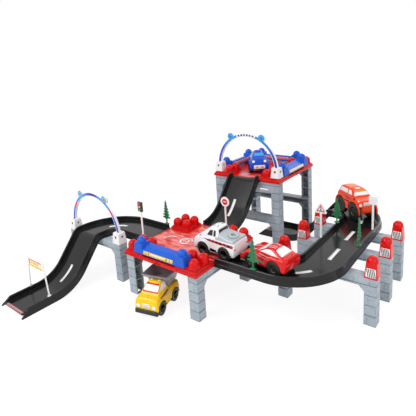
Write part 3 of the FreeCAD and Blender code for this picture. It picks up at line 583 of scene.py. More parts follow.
def facing(node: str, forward: Vector = FRONTWARDS) -> Place:
    """The middle of a node's foot, with a way that it faces."""
    low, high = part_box(node)
    return Place(Vector(((low.x + high.x) / 2, (low.y + high.y) / 2, low.z)), forward)


def in_box(low_a: float, low_b: float, high_a: float, high_b: float) -> Outline:
    """A four-cornered outline from its lowest and highest corners."""
    return [(low_a, low_b), (high_a, low_b), (high_a, high_b), (low_a, high_b)]


def pair(a: float, b: float) -> list[Point2]:
    """Two spots, even about the middle."""
    return [(-a, b), (a, b)]


def pane(low_half: float, low: float, high_half: float, high: float, corner: float) -> Outline:
    """A pane that is even about the middle, from its lower edge to its upper one."""
    return softened([(-low_half, low), (low_half, low), (high_half, high), (-high_half, high)],
                    corner)


def circle(points: int) -> list[Point2]:
    """Even steps round a circle of radius 1."""
    return [(math.cos(k * math.tau / points), math.sin(k * math.tau / points))
            for k in range(points)]


def in_round(a: float, b: float, radius: float, points: int = 28) -> Outline:
    """A round outline."""
    return [(a + radius * x, b + radius * y) for x, y in circle(points)]


def on_bend(a: float, b: float, radius: float, half: float, start: float, stop: float,
            points: int = 10) -> Outline:
    """A strip along a bend.

    Args:
        a: The bend's centre, first measure.
        b: The bend's centre, second measure.
        radius: The strip's middle radius.
        half: Half the strip's width.
        start: The angle in degrees where it starts.
        stop: The angle where it ends.
        points: Points along each edge.

    Returns:
        The strip's outline.
    """
    outline = []
    for reach, order in ((radius + half, 1), (radius - half, -1)):
        steps = [math.radians(start + (stop - start) * k / (points - 1)) for k in range(points)]
        outline += [(a + reach * math.cos(t), b + reach * math.sin(t)) for t in steps[::order]]
    return outline


def softened(corners: Outline, radius: float, points: int = 4) -> Outline:
    """An outline whose corners are rounded off.

    Args:
        corners: The sharp outline.
        radius: How far from each corner the rounding starts.
        points: Points on each corner.

    Returns:
        The rounded outline.
    """
    outline = []
    for index, (a, b) in enumerate(corners):
        here = Vector((a, b))
        back = Vector(corners[index - 1]) - here
        ahead = Vector(corners[(index + 1) % len(corners)]) - here
        first = here + back.normalized() * min(radius, back.length / 2)
        last = here + ahead.normalized() * min(radius, ahead.length / 2)
        for step in range(points):
            share = step / (points - 1)
            bend = (first.lerp(here, share)).lerp(here.lerp(last, share), share)
            outline.append((bend.x, bend.y))
    return outline


SURFACES: dict[str, BVHTree] = {}


def keep_surface(node: str, mesh: Mesh) -> None:
    """Keep a mesh as the surface that a node's stickers are laid on."""
    SURFACES[node] = BVHTree.FromPolygons([vertex.co.copy() for vertex in mesh.vertices],
                                          [tuple(face.vertices) for face in mesh.polygons])


def surface_of(node: str) -> BVHTree:
    """The surface that a node's stickers are laid on: its stand-in's, or else its own."""
    if node not in SURFACES:
        keep_surface(node, NODES[node].data)
    return SURFACES[node]


def mesh_of(form: Form, name: str, smooth: bool = True,
            sharp: float = 0.0) -> Mesh:
    """Turn a form into a mesh and free it.

    Args:
        form: The form.
        name: The mesh's name.
        smooth: Whether all its faces are shaded smooth.
        sharp: From which angle in degrees an edge stays sharp; 0 leaves none.

    Returns:
        The mesh.
    """
    mesh = bpy.data.meshes.new(name)
    form.to_mesh(mesh)
    form.free()
    if smooth:
        for face in mesh.polygons:
            face.use_smooth = True
    if sharp:
        mesh.set_sharp_from_angle(angle=math.radians(sharp))
    return mesh


def take_in(form: Form, mesh: Mesh) -> None:
    """Add a mesh to a form and delete it."""
    form.from_mesh(mesh)
    bpy.data.meshes.remove(mesh)


def skin_over(form: Form, rings: Sequence[Sequence[bmesh.types.BMVert]]) -> None:
    """Close rings of points into a solid: a face on each end and walls between them."""
    faces = [form.faces.new(rings[0]), form.faces.new(rings[-1])]
    count = len(rings[0])
    for first, second in zip(rings, rings[1:]):
        for k in range(count):
            after = (k + 1) % count
            faces.append(form.faces.new((first[k], first[after], second[after], second[k])))
    bmesh.ops.recalc_face_normals(form, faces=faces)


def piece_on(node: str, mesh: Mesh, finish: Plastic) -> Piece:
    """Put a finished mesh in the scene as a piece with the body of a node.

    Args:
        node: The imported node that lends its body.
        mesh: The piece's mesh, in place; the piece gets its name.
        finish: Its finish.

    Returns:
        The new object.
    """
    piece = bpy.data.objects.new(mesh.name, mesh)
    bpy.context.scene.collection.objects.link(piece)
    mesh.materials.append(finish.build())
    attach(piece, BODY_OF[node])
    LOG.info("%s: %d faces on %s", mesh.name, len(mesh.polygons), BODY_OF[node])
    return piece


def stand_in(node: str, mesh: Mesh, finish: Plastic | None = None) -> None:
    """Let a mesh stand for a node; it wears the finish of the node's slot if none is given."""
    piece = piece_on(node, mesh, finish or SLOT_FINISHES[SLOT_OF[node]])
    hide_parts(node)
    keep_surface(node, mesh)


def hit_on(node: str, start: Vector, way: Vector) -> tuple[Vector | None, Vector]:
    """Where a ray meets a node, and the surface's normal there, turned towards the start."""
    hit, normal, _, _ = surface_of(node).ray_cast(start, way)
    if hit is not None and normal.dot(way) > 0:
        normal = -normal
    return hit, normal


@dataclass
class Sticker:
    """One colour of a sticker: outlines that are laid on a node from one side of a place."""

    name: str
    node: str
    place: Place
    side: Side
    outlines: Sequence[Outline]
    finish: Plastic
    layer: int = 1
    step: float = 2.0
    lift: float = 0.09
    far: float = 400.0
    film: float = 0.1

    def grid(self) -> Form:
        """The outlines as flat faces, cut into cells so that they can follow a curved surface."""
        sheet = bmesh.new()
        for outline in self.outlines:
            sheet.faces.new([sheet.verts.new((a, b, 0.0)) for a, b in outline])
        for axis in (0, 1):
            low = min(vertex.co[axis] for vertex in sheet.verts)
            high = max(vertex.co[axis] for vertex in sheet.verts)
            normal = Vector((1.0, 0.0, 0.0)) if axis == 0 else Vector((0.0, 1.0, 0.0))
            cut = low + self.step
            while cut < high - self.step / 4:
                everything = list(sheet.verts) + list(sheet.edges) + list(sheet.faces)
                bmesh.ops.bisect_plane(sheet, geom=everything, dist=1e-5, plane_co=normal * cut,
                                       plane_no=normal)
                cut += self.step
        return sheet

    def build(self) -> Piece:
        """Lay the sticker on its node.

        Returns:
            The sticker's object.
        """
        sheet = self.grid()
        missed = []
        for vertex in sheet.verts:
            start, way = self.place.ray(self.side, vertex.co.x, vertex.co.y, self.far)
            hit, normal = hit_on(self.node, start, way)
            if hit is None:
                missed.append(vertex)
                continue
            vertex.co = hit + normal * (self.lift * self.layer * MM)
        if missed:
            LOG.warning("%s: %d points miss %s", self.name, len(missed), self.node)
            bmesh.ops.delete(sheet, geom=missed, context="VERTS")
        sheet.normal_update()
        outward = -self.place.ray(self.side, 0.0, 0.0)[1]
        if sum(face.normal.dot(outward) for face in sheet.faces) < 0:
            bmesh.ops.reverse_faces(sheet, faces=list(sheet.faces))
        piece = piece_on(self.node, mesh_of(sheet, self.name), self.finish)
        skin = piece.modifiers.new("thickness", "SOLIDIFY")
        skin.thickness = self.film * MM
        skin.offset = -1.0
        return piece


# Geometry node trees


@dataclass
class NodesTree:
    """A Geometry Nodes tree with named inputs; it runs once on a piece and leaves a plain mesh."""

    name: str
    inputs: Sequence[tuple[str, str]]
    fill: Callable[[Tree, Node, Node], None]

    def tree(self) -> Tree:
        """Make the tree, or find it."""
        known = bpy.data.node_groups.get(self.name)
        if known is not None:
            return known
        tree = bpy.data.node_groups.new(self.name, "GeometryNodeTree")
        for name, kind in self.inputs:
            tree.interface.new_socket(name, in_out="INPUT", socket_type=kind)
        tree.interface.new_socket("Geometry", in_out="OUTPUT", socket_type="NodeSocketGeometry")
        self.fill(tree, tree.nodes.new("NodeGroupInput"), tree.nodes.new("NodeGroupOutput"))
        return tree

    def run(self, values: dict[str, object]) -> Mesh:
        """Run the tree with these values.

        Args:
            values: A value for each named input.

        Returns:
            The plain mesh that it makes.
        """
        tree = self.tree()
        holder = bpy.data.objects.new("holder", bpy.data.meshes.new("holder"))
        bpy.context.scene.collection.objects.link(holder)
        modifier = holder.modifiers.new("nodes", "NODES")
        modifier.node_group = tree
        for item in tree.interface.items_tree:
            if item.in_out == "INPUT" and item.name in values:
                modifier[item.identifier] = values[item.name]
        seen = holder.evaluated_get(bpy.context.evaluated_depsgraph_get())
        mesh = bpy.data.meshes.new_from_object(seen)
        holder.modifiers.remove(modifier)
        bpy.data.objects.remove(holder)
        return mesh


def fill_ring(tree: Tree, given: Node, put: Node) -> None:
    """Blocks in a ring about the Y axis, each turned outwards and skewed by an angle."""
    value = given.outputs
    ring = made(tree, "GeometryNodeMeshCircle", Vertices=value["Count"], Radius=value["Radius"])
    block = made(tree, "GeometryNodeMeshCube", Size=value["Block"])
    lean = made(tree, "ShaderNodeCombineXYZ", X=value["Skew"])
    skew = made(tree, "GeometryNodeTransform", Geometry=block.outputs["Mesh"],
                Rotation=lean.outputs["Vector"])
    index = made(tree, "GeometryNodeInputIndex").outputs["Index"]
    turn = maths(tree, "MULTIPLY", index, maths(tree, "DIVIDE", math.tau, value["Count"]))
    face = made(tree, "ShaderNodeCombineXYZ", Z=turn)
    spread = made(tree, "GeometryNodeInstanceOnPoints", Points=ring.outputs["Mesh"],
                  Instance=skew.outputs["Geometry"], Rotation=face.outputs["Vector"])
    stand = made(tree, "GeometryNodeTransform", Geometry=spread.outputs["Instances"],
                 Rotation=(math.pi / 2, 0.0, 0.0), Translation=value["Shift"])
    real = made(tree, "GeometryNodeRealizeInstances", Geometry=stand.outputs["Geometry"])
    dress = made(tree, "GeometryNodeSetMaterial", Geometry=real.outputs["Geometry"],
                 Material=value["Material"])
    tree.links.new(dress.outputs["Geometry"], put.inputs["Geometry"])


RING = NodesTree("ring_of_blocks", (
    ("Count", "NodeSocketInt"), ("Radius", "NodeSocketFloat"), ("Block", "NodeSocketVector"),
    ("Skew", "NodeSocketFloat"), ("Shift", "NodeSocketVector"),
    ("Material", "NodeSocketMaterial")), fill_ring)

def joined(name: str, meshes: Sequence[Mesh], place: Matrix) -> Mesh:
    """Join meshes into one and put it in place.

    Args:
        name: The new mesh's name.
        meshes: The meshes, in the place's own axes.
        place: Where the result goes.

    Returns:
        The joined mesh; its faces keep their material's number by mesh.
    """
    whole = bmesh.new()
    for number, mesh in enumerate(meshes):
        start = len(whole.faces)
        whole.from_mesh(mesh)
        whole.faces.ensure_lookup_table()
        for face in whole.faces[start:]:
            face.material_index = number
    whole.transform(place)
    for mesh in meshes:
        bpy.data.meshes.remove(mesh)
    return mesh_of(whole, name, smooth=False)


def turned(profile: Sequence[Point2], segments: int = 56) -> Mesh:
    """A closed form turned about the Y axis.

    Args:
        profile: Points of (place along Y, radius), in millimetres, from pole to pole.
        segments: Steps round the axis.

    Returns:
        The mesh, with its faces outwards.
    """
    form = bmesh.new()
    rings = []
    for y, radius in profile:
        if radius < 1e-6:
            rings.append([form.verts.new((0.0, y * MM, 0.0))])
            continue
        rings.append([form.verts.new((radius * MM * a, y * MM, radius * MM * b))
                      for a, b in circle(segments)])
    for first, second in zip(rings, rings[1:]):
        for k in range(segments):
            after = (k + 1) % segments
            corners = [first[k % len(first)], first[after % len(first)],
                       second[after % len(second)], second[k % len(second)]]
            unique = list(dict.fromkeys(corners))
            form.faces.new(unique)
    bmesh.ops.recalc_face_normals(form, faces=list(form.faces))
    return mesh_of(form, "turned")


def dome_profile(radius: float, rise: float, skirt: float, points: int = 7) -> list[Point2]:
    """The profile of a low dome that stands on Y = 0 and points to +Y."""
    profile = [(-skirt, 0.0), (-skirt, radius)]
    profile += [(rise * math.sin(k * math.pi / 2 / points), radius * math.cos(
        k * math.pi / 2 / points)) for k in range(points)]
    return profile + [(rise, 0.0)]


@dataclass
class Dome:
    """A small round lamp or button that stands on a node, square to its surface."""

    name: str
    node: str
    place: Place
    side: Side
    spots: Sequence[Point2]
    radius: float
    rise: float
    finish: Plastic

    def build(self) -> Piece:
        """Make the domes as one piece.

        Returns:
            The piece's object.
        """
        whole = bmesh.new()
        for a, b in self.spots:
            start, way = self.place.ray(self.side, a, b)
            hit, normal = hit_on(self.node, start, way)
            if hit is None:
                LOG.warning("%s misses %s", self.name, self.node)
                continue
            part = turned(dome_profile(self.radius, self.rise, self.radius / 3), 28)
            turn = Vector((0.0, 1.0, 0.0)).rotation_difference(normal).to_matrix().to_4x4()
            part.transform(Matrix.Translation(hit) @ turn)
            take_in(whole, part)
        return piece_on(self.node, mesh_of(whole, self.name), self.finish)


# Moulded forms


def curve_through(points: Sequence[Point2], steps: int = 5) -> Outline:
    """A smooth line through points, from the first to the last.

    Args:
        points: The points that it passes.
        steps: Points on each stretch.

    Returns:
        The points of the line.
    """
    line = []
    padded = [points[0], *points, points[-1]]
    for a, b, c, d in zip(padded, padded[1:], padded[2:], padded[3:]):
        for step in range(steps):
            t = step / steps
            line.append(tuple(0.5 * (2 * b[k] + (c[k] - a[k]) * t
                                     + (2 * a[k] - 5 * b[k] + 4 * c[k] - d[k]) * t ** 2
                                     + (3 * b[k] - a[k] - 3 * c[k] + d[k]) * t ** 3)
                              for k in (0, 1)))
    return line + [tuple(points[-1])]


def drawn_in(outline: Outline, inset: float) -> Outline:
    """A closed outline moved inwards by a small distance; it runs anticlockwise."""
    moved = []
    for index, (x, z) in enumerate(outline):
        back = Vector((x, z)) - Vector(outline[index - 1])
        ahead = Vector(outline[(index + 1) % len(outline)]) - Vector((x, z))
        normal = Vector((-back.y, back.x)).normalized() + Vector((-ahead.y, ahead.x)).normalized()
        normal = normal.normalized() if normal.length > 1e-6 else Vector((0.0, 0.0))
        moved.append((x + normal.x * inset, z + normal.y * inset))
    return moved


@dataclass(frozen=True)
class Loft:
    """A moulded form: a side outline carried across its width, with round long edges.

    Its sides draw in from the waist to the top, and its top falls a little towards them.
    """

    outline: Outline
    half: float
    waist: float
    top: float
    draw: float = 3.0
    crown: float = 1.5
    round_r: float = 3.0
    power: float = 1.6
    slices: int = 6

    def rows(self) -> list[tuple[float, float]]:
        """The place across and the inset of each slice, from right to left."""
        corner = [(self.half - self.round_r * (1 - math.sin(k * math.pi / 8)),
                   self.round_r * (1 - math.cos(k * math.pi / 8))) for k in range(5)]
        flat = self.half - self.round_r
        middle = [(flat * (2 * k / self.slices - 1), 0.0) for k in range(1, self.slices)]
        return [(-y, inset) for y, inset in reversed(corner)] + middle + corner

    def add_to(self, form: Form) -> None:
        """Add the form to a mesh, in the vehicle's own axes."""
        rings = []
        for y, inset in self.rows():
            ring = []
            for x, z in drawn_in(self.outline, inset):
                rise = min(1.0, max(0.0, (z - self.waist) / (self.top - self.waist)))
                across = y * (1 - self.draw / self.half * rise ** self.power)
                fall = self.crown * abs(y / self.half) ** 3 * rise
                ring.append(form.verts.new((x * MM, across * MM, (z - fall) * MM)))
            rings.append(ring)
        skin_over(form, rings)


@dataclass(frozen=True)
class Tube:
    """A round rod bent along a path, such as the lip of a wheel arch."""

    path: Sequence[tuple[float, float, float]]
    radius: float
    sides: int = 8

    def add_to(self, form: Form) -> None:
        """Add the rod to a mesh, in the vehicle's own axes."""
        points = [Vector(point) for point in self.path]
        rings = []
        for index, point in enumerate(points):
            before = points[max(index - 1, 0)]
            after = points[min(index + 1, len(points) - 1)]
            turn = (after - before).to_track_quat("Z", "Y").to_matrix()
            ring = []
            for a, b in circle(self.sides):
                offset = turn @ Vector((a, b, 0.0)) * self.radius
                ring.append(form.verts.new((point + offset) * MM))
            rings.append(ring)
        skin_over(form, rings)


@dataclass(frozen=True)
class Tub:
    """An open tray of rounded rectangles, from its outer floor over the rim to its inner one."""

    loops: Sequence[tuple[float, float, float, float, float]]

    def add_to(self, form: Form) -> None:
        """Add the tray; each loop is (lowest x, highest x, half width, z, corner radius)."""
        rings = []
        for x0, x1, half, z, corner in self.loops:
            flat = softened([(x0, -half), (x1, -half), (x1, half), (x0, half)], corner, 6)
            rings.append([form.verts.new((x * MM, y * MM, z * MM)) for x, y in flat])
        skin_over(form, rings)


Moulding = Loft | Tube | Tub


def arch_path(x: float, z: float, radius: float, low: float, points: int = 14) -> Outline:
    """The line of a wheel arch, from its rear foot over the wheel to its front foot.

    Args:
        x: The wheel's place along the vehicle.
        z: The wheel's height.
        radius: The arch's radius.
        low: The height of the body's floor.
        points: Points on the arch.

    Returns:
        The points of the line.
    """
    start = math.asin(max(-0.95, min(0.95, (low - z) / radius)))
    sweep = math.pi - 2 * start
    return [(x - radius * math.cos(start + sweep * k / (points - 1)),
             z + radius * math.sin(start + sweep * k / (points - 1))) for k in range(points)]


# Vehicles


@dataclass
class Wheels:
    """Both wheels of one axle, with tread blocks, a rim, spokes and the bar between them."""

    vehicle: str
    end: str
    radius: float
    half_track: float
    place: Place
    width: float = 11.0
    tread: float = 1.1
    lugs: int = 26
    lug_skew: float = 0.35
    spokes: int = 5
    axle_r: float = 2.0

    def profile(self) -> list[Point2]:
        """One wheel's profile from its outer face, at +Y, to its inner one."""
        half, r, base = self.width / 2, self.radius, self.radius - self.tread
        return [(half - 2.6, 0.0), (half - 2.7, 0.10 * r), (half - 3.4, 0.14 * r),
                (half - 3.4, 0.44 * r), (half - 1.2, 0.50 * r), (half - 0.5, 0.54 * r),
                (half - 0.6, 0.60 * r), (half - 1.3, 0.63 * r), (half - 0.4, 0.70 * r),
                (half - 0.1, 0.80 * r), (half - 0.4, 0.90 * r), (half - 1.4, base),
                (-half + 1.4, base), (-half + 0.4, 0.90 * r), (-half + 0.1, 0.78 * r),
                (-half + 0.5, 0.62 * r), (-half + 2.5, 0.55 * r), (-half + 2.5, 0.0)]

    def wheel(self, side: int) -> list[Mesh]:
        """The meshes of one wheel: its turned body, its tread and its spokes.

        Args:
            side: +1 for the left wheel and -1 for the right one.

        Returns:
            The meshes, with the tread first.
        """
        shift = side * (self.half_track - self.width / 2)
        body = turned([(side * y, radius) for y, radius in self.profile()])
        body.transform(Matrix.Translation((0.0, shift * MM, 0.0)))
        lug_w = self.width * 0.46
        lug_l = math.tau * self.radius / self.lugs * 0.58
        rows = [RING.run({
            "Count": self.lugs, "Radius": (self.radius - self.tread) * MM,
            "Block": Vector((2 * self.tread * MM * 0.98, lug_l * MM, lug_w * MM)),
            "Skew": row * self.lug_skew,
            "Shift": Vector((0.0, (shift + row * self.width * 0.22) * MM, 0.0)),
            "Material": TYRE.build()}) for row in (-1, 1)]
        spokes = RING.run({
            "Count": self.spokes, "Radius": self.radius * 0.28 * MM,
            "Block": Vector((self.radius * 0.34 * MM, self.radius * 0.13 * MM, 1.6 * MM)),
            "Skew": 0.0, "Shift": Vector((0.0, (shift + side * (self.width / 2 - 3.2)) * MM, 0.0)),
            "Material": HUB.build()})
        return [body, *rows, spokes]

    def build(self) -> None:
        """Make the piece and let it stand for the plain wheels."""
        inner = self.half_track - self.width + 2.4
        axle = turned([(-inner, 0.0), (-inner, self.axle_r), (inner, self.axle_r), (inner, 0.0)],
                      24)
        meshes = [axle]
        for side in (-1, 1):
            meshes += self.wheel(side)
        mesh = joined(f"{self.vehicle}_{self.end}_tyres", meshes, self.place.matrix())
        for face in mesh.polygons:
            face.material_index = 0
        stand_in(f"{self.vehicle}_{self.end}_wheels", mesh, TYRE)


@dataclass
class Vehicle:
    """What every toy vehicle shares: its place between the axles, its wheels and its stickers."""

    name: str = ""
    width: float = 62.0
    side_gap: float = 1.0
    half: float = 29.0
    floor: float = 12.5
    arch_gap: float = 1.6
    waist: float = 28.0
    hull_draw: float = 3.0
    hull_crown: float = 2.0
    cabin_in: float = 3.0
    cabin_draw: float = 8.0
    sharp: float = 42.0
    shell: tuple[Point2, ...] = ()
    cabin: tuple[Point2, ...] = ()

    def spin(self, end: str) -> Vector:
        """The middle of the front or rear axle."""
        return Vector(JOINTS[f"{self.name}_{end}_spin"]["pos_m"])

    def ground(self) -> Place:
        """The place on the ground between the axles, facing forwards."""
        front, rear = self.spin("front"), self.spin("rear")
        middle = (front + rear) / 2
        middle.z -= self.wheel_radius() * MM
        return Place(middle, front - rear)

    def wheel_radius(self) -> float:
        """The wheels' radius in millimetres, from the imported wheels."""
        low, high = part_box(f"{self.name}_front_wheels")
        return (high.z - low.z) / 2 / MM

    def body_node(self) -> str:
        """The name of the body's node."""
        return self.name + "_body"

    def lay(self, label: str, side: Side, outlines: Sequence[Outline], finish: Plastic,
            layer: int = 1, node: str = "") -> None:
        """Lay one sticker on the body, or on another node of the vehicle."""
        Sticker(f"{self.name}_{label}", node or self.body_node(), self.ground(), side, outlines,
                finish, layer).build()

    def lay_both(self, label: str, outlines: Sequence[Outline], finish: Plastic,
                 layer: int = 1) -> None:
        """Lay the same sticker on both sides of the body."""
        self.lay(label + "_left", Side.LEFT, outlines, finish, layer)
        self.lay(label + "_right", Side.RIGHT, outlines, finish, layer)

    def dots(self, label: str, side: Side, spots: Sequence[Point2], radius: float, rise: float,
             finish: Plastic) -> None:
        """Stand small domes on the body."""
        Dome(f"{self.name}_{label}", self.body_node(), self.ground(), side, spots, radius, rise,
             finish).build()

    def wheels(self) -> None:
        """Put detailed wheels on both axles."""
        heading = self.ground().forward
        for end in ("front", "rear"):
            Wheels(self.name, end, self.wheel_radius(), self.width / 2 - self.side_gap,
                   Place(self.spin(end), heading)).build()

    def wheelbase(self) -> float:
        """The distance between the axles in millimetres."""
        return (self.spin("front") - self.spin("rear")).length / MM

    def hull_outline(self) -> Outline:
        """The lower body's side outline with its two wheel arches, anticlockwise."""
        radius, half = self.wheel_radius(), self.wheelbase() / 2
        reach = radius + self.arch_gap
        line = [(self.shell[0][0], self.floor), *curve_through(self.shell, 4)[1:-1],
                (self.shell[-1][0], self.floor)]
        line = [(a, b) for a, b in line
                if min(math.hypot(a - x, b - radius) for x in (-half, half)) > reach]
        tail, nose = min(self.shell)[0] + 0.6, max(self.shell)[0] - 0.6
        return [(a, b) for x in (-half, half) for a, b in arch_path(x, radius, reach, self.floor)
                if tail < a < nose] + line

    def forms(self) -> list[Moulding]:
        """The hull, the cabin and the lips of the wheel arches."""
        top = max(z for _, z in self.shell)
        parts = [Loft(self.hull_outline(), self.half, self.waist, top, self.hull_draw,
                      self.hull_crown, 3.0)]
        roof = max(z for _, z in self.cabin)
        foot = min(z for _, z in self.cabin)
        parts.append(Loft(curve_through(self.cabin, 4), self.half - self.cabin_in, foot, roof,
                          self.cabin_draw, 1.6, 3.2, 1.2))
        radius, half = self.wheel_radius(), self.wheelbase() / 2
        for x in (-half, half):
            line = arch_path(x, radius, radius + self.arch_gap + 1.0, self.floor + 1.5, 18)
            for side in (-1, 1):
                parts.append(Tube([(a, side * (self.half - 1.2), b) for a, b in line], 2.1))
        return parts

    def coachwork(self) -> None:
        """Make the moulded body and let it stand for the plain one."""
        stand_in(self.body_node(), self.moulded(self.body_node() + "_moulding", self.forms()))

    def moulded(self, name: str, parts: Sequence[Moulding]) -> Mesh:
        """Mould forms in the vehicle's own axes into one mesh, in place.

        Args:
            name: The mesh's name.
            parts: The forms.

        Returns:
            The mesh.
        """
        form = bmesh.new()
        for part in parts:
            part.add_to(form)
        form.transform(self.ground().matrix())
        return mesh_of(form, name, sharp=self.sharp)

    def bumper(self, label: str, front: float, depth: float, half: float, low: float,
               high: float, finish: Plastic) -> None:
        """Add a round-edged bumper across the nose.

        Args:
            label: The piece's name after the vehicle's.
            front: How far forward it reaches.
            depth: Its size along the vehicle.
            half: Half its width.
            low: The height of its lower edge.
            high: The height of its upper edge.
            finish: Its finish.
        """
        outline = softened(in_box(front - depth, low, front, high), 2.2)
        bar = self.moulded(f"{self.name}_{label}", [Loft(outline, half, low, high, 1.0, 0.0, 3.0)])
        piece_on(self.body_node(), bar, finish)

    def trim(self) -> None:
        """Add what this vehicle has of its own."""

    def build(self) -> None:
        """Dress the whole vehicle."""
        self.coachwork()
        self.wheels()
        self.trim()


def checks(start: float, stop: float, low: Callable[[float], float], rise: float, count: int,
           lean: float) -> list[Outline]:
    """Slanted checks along a stripe.

    Args:
        start: Where the first check starts.
        stop: Where the last one ends.
        low: The stripe's lower edge at a place.
        rise: The stripe's height.
        count: How many checks.
        lean: How far a check's top leans.

    Returns:
        The checks' outlines.
    """
    pitch = (stop - start) / count
    outlines = []
    for index in range(count):
        a = start + index * pitch
        b = a + pitch / 2
        outlines.append([(a, low(a)), (b, low(b)), (b + lean, low(b) + rise),
                         (a + lean, low(a) + rise)])
    return outlines


@dataclass
class Pickup(Vehicle):
    """The white pickup with a checked stripe and dark windows."""

    name: str = "pickup"
    hull_draw: float = 2.5
    cabin_draw: float = 9.0
    shell: tuple[Point2, ...] = (
        (53.0, 12.5), (55.2, 16.0), (56.0, 24.0), (54.5, 35.0), (49.0, 42.5), (38.0, 46.5),
        (20.0, 48.5), (0.0, 49.0), (-20.0, 48.5), (-45.0, 47.5), (-53.5, 45.5), (-56.0, 38.0),
        (-55.5, 20.0), (-53.5, 12.5))
    cabin: tuple[Point2, ...] = (
        (-13.0, 44.0), (38.0, 44.0), (36.0, 48.0), (25.0, 58.0), (15.0, 66.5), (9.0, 69.0),
        (0.0, 69.6), (-6.0, 68.8), (-9.5, 65.0), (-12.0, 54.0))

    def coachwork(self) -> None:
        """Make the moulded body and the grey cover with its round scoop."""
        super().coachwork()
        cover = curve_through([(-54.0, 42.0), (-7.0, 42.0), (-7.5, 58.0), (-14.0, 57.5),
                               (-28.0, 54.0), (-42.0, 51.5), (-52.0, 50.0), (-54.0, 47.0)], 4)
        ring = circle(20)
        scoop = [(-40.0 + 9.0 * a, 4.0 + 9.0 * b, 54.0 + 1.5 * a) for a, b in ring + ring[:1]]
        piece_on(self.body_node(), self.moulded("pickup_cover", [
            Loft(cover, 27.0, 44.0, 58.0, 7.0, 2.5, 3.0), Tube(scoop, 3.2, 10)]), COVER)

    def trim(self) -> None:
        """Windows, stripe, roof dashes and lamps."""
        door_pane = softened([(18.5, 50.5), (12.0, 61.5), (4.0, 62.5), (3.5, 50.0)], 1.5)
        rear_pane = softened([(1.0, 50.0), (1.5, 62.5), (-4.0, 62.5), (-5.5, 50.0)], 1.2)
        self.lay_both("side_windows", [door_pane, rear_pane], GLASS_BLACK)
        self.lay("windscreen", Side.FRONT,
                 [pane(18.5, 51.0, 15.5, 64.0, 2.0)],
                 GLASS_BLACK)
        self.lay("rear_window", Side.BACK,
                 [pane(19.0, 50.5, 16.5, 64.5, 2.0)],
                 GLASS_BLACK)
        def low(x: float) -> float:
            return 33.0 + 0.07 * (x + 55.0)
        stripe = [(-54.0, 33.0), (12.0, low(12.0)), (27.0, 42.5), (-54.0, 40.5)]
        self.lay_both("stripe", [stripe], BLACK_INK)
        self.lay_both("stripe_checks", checks(-52.0, 15.0, low, 6.2, 6, 2.5), RED_INK, 2)
        dashes = [in_box(x, y - 4.0, x + 1.8, y + 4.0) for x in (-3.5, 6.0) for y in (-8.0, 8.0)]
        self.lay("roof_dashes", Side.TOP, dashes, BLACK_INK)
        self.dots("lamps", Side.FRONT, pair(19.0, 31.0), 4.0, 1.6, LAMP_WHITE)
        self.dots("tail_lamps", Side.BACK, pair(24.0, 31.0), 2.6, 1.0, LAMP_RED)


@dataclass
class Racer(Vehicle):
    """The low red racer with white windows and pale stripes."""

    name: str = "racer"
    waist: float = 22.0
    hull_draw: float = 5.0
    hull_crown: float = 3.0
    cabin_in: float = 4.0
    cabin_draw: float = 10.0
    shell: tuple[Point2, ...] = (
        (54.0, 12.5), (56.2, 14.5), (57.0, 19.0), (54.5, 25.0), (46.0, 31.0), (32.0, 35.5),
        (14.0, 38.5), (-8.0, 39.5), (-30.0, 39.5), (-44.0, 39.0), (-51.0, 40.5), (-55.0, 41.0),
        (-57.0, 37.0), (-57.0, 24.0), (-54.0, 12.5))
    cabin: tuple[Point2, ...] = (
        (-50.0, 34.0), (24.0, 34.0), (21.0, 37.5), (9.0, 44.0), (-3.0, 49.8), (-11.0, 52.0),
        (-19.0, 52.3), (-27.0, 50.5), (-39.0, 44.5), (-49.0, 38.5))

    def trim(self) -> None:
        """Windows, stripes, sills and lamps."""
        side = softened([(9.0, 41.0), (-6.0, 48.0), (-17.0, 48.5), (-37.0, 40.0), (-20.0, 39.8)],
                        2.0)
        self.lay_both("side_windows", [side], WHITE_INK)
        self.lay("windscreen", Side.TOP,
                 [softened([(16.0, -20.0), (16.0, 20.0), (-2.5, 15.5), (-2.5, -15.5)], 3.0)],
                 WHITE_INK)
        self.lay("rear_window", Side.TOP,
                 [softened([(-27.0, -14.5), (-27.0, 14.5), (-44.0, 19.0), (-44.0, -19.0)], 3.0)],
                 WHITE_INK)
        stripes = [[(-7.0, y), (-7.0, y + 1.4), (-23.0, y * 0.8 + 1.4), (-23.0, y * 0.8)]
                   for y in (-11.0, 3.0, 10.0)]
        self.lay("roof_stripes", Side.TOP, stripes, WHITE_INK)
        bonnet = [[(44.0, y), (44.0, y + 2.2), (24.0, y * 1.5 + 1.6), (24.0, y * 1.5)]
                  for y in (-8.0, 6.0)]
        self.lay("bonnet_stripes", Side.TOP, bonnet, WHITE_INK)
        self.lay_both("flank_streaks", [
            [(10.0, 38.0), (-14.0, 35.5), (-30.0, 37.5), (-14.0, 34.0), (8.0, 36.0)],
            [(14.0, 34.5), (-8.0, 31.5), (-22.0, 32.5), (-8.0, 30.3), (12.0, 32.8)]], PINK_INK)
        self.lay_both("sills", [[(13.0, 25.5), (13.0, 22.0), (-13.0, 17.5), (-13.0, 21.5)]],
                      GREY_INK)
        self.lay_both("sill_marks", checks(-10.0, 11.0, lambda x: 18.6 + 0.17 * (x + 13.0), 2.6,
                                           5, 1.0), BLACK_INK, 2)
        self.dots("lamps", Side.FRONT, pair(20.0, 21.0), 3.6, 1.4, LAMP_WHITE)
        self.dots("tail_lamps", Side.BACK, [(-22.0, 28.0), (-16.0, 28.0), (16.0, 28.0),
                                            (22.0, 28.0)], 2.3, 1.0, LAMP_RED)


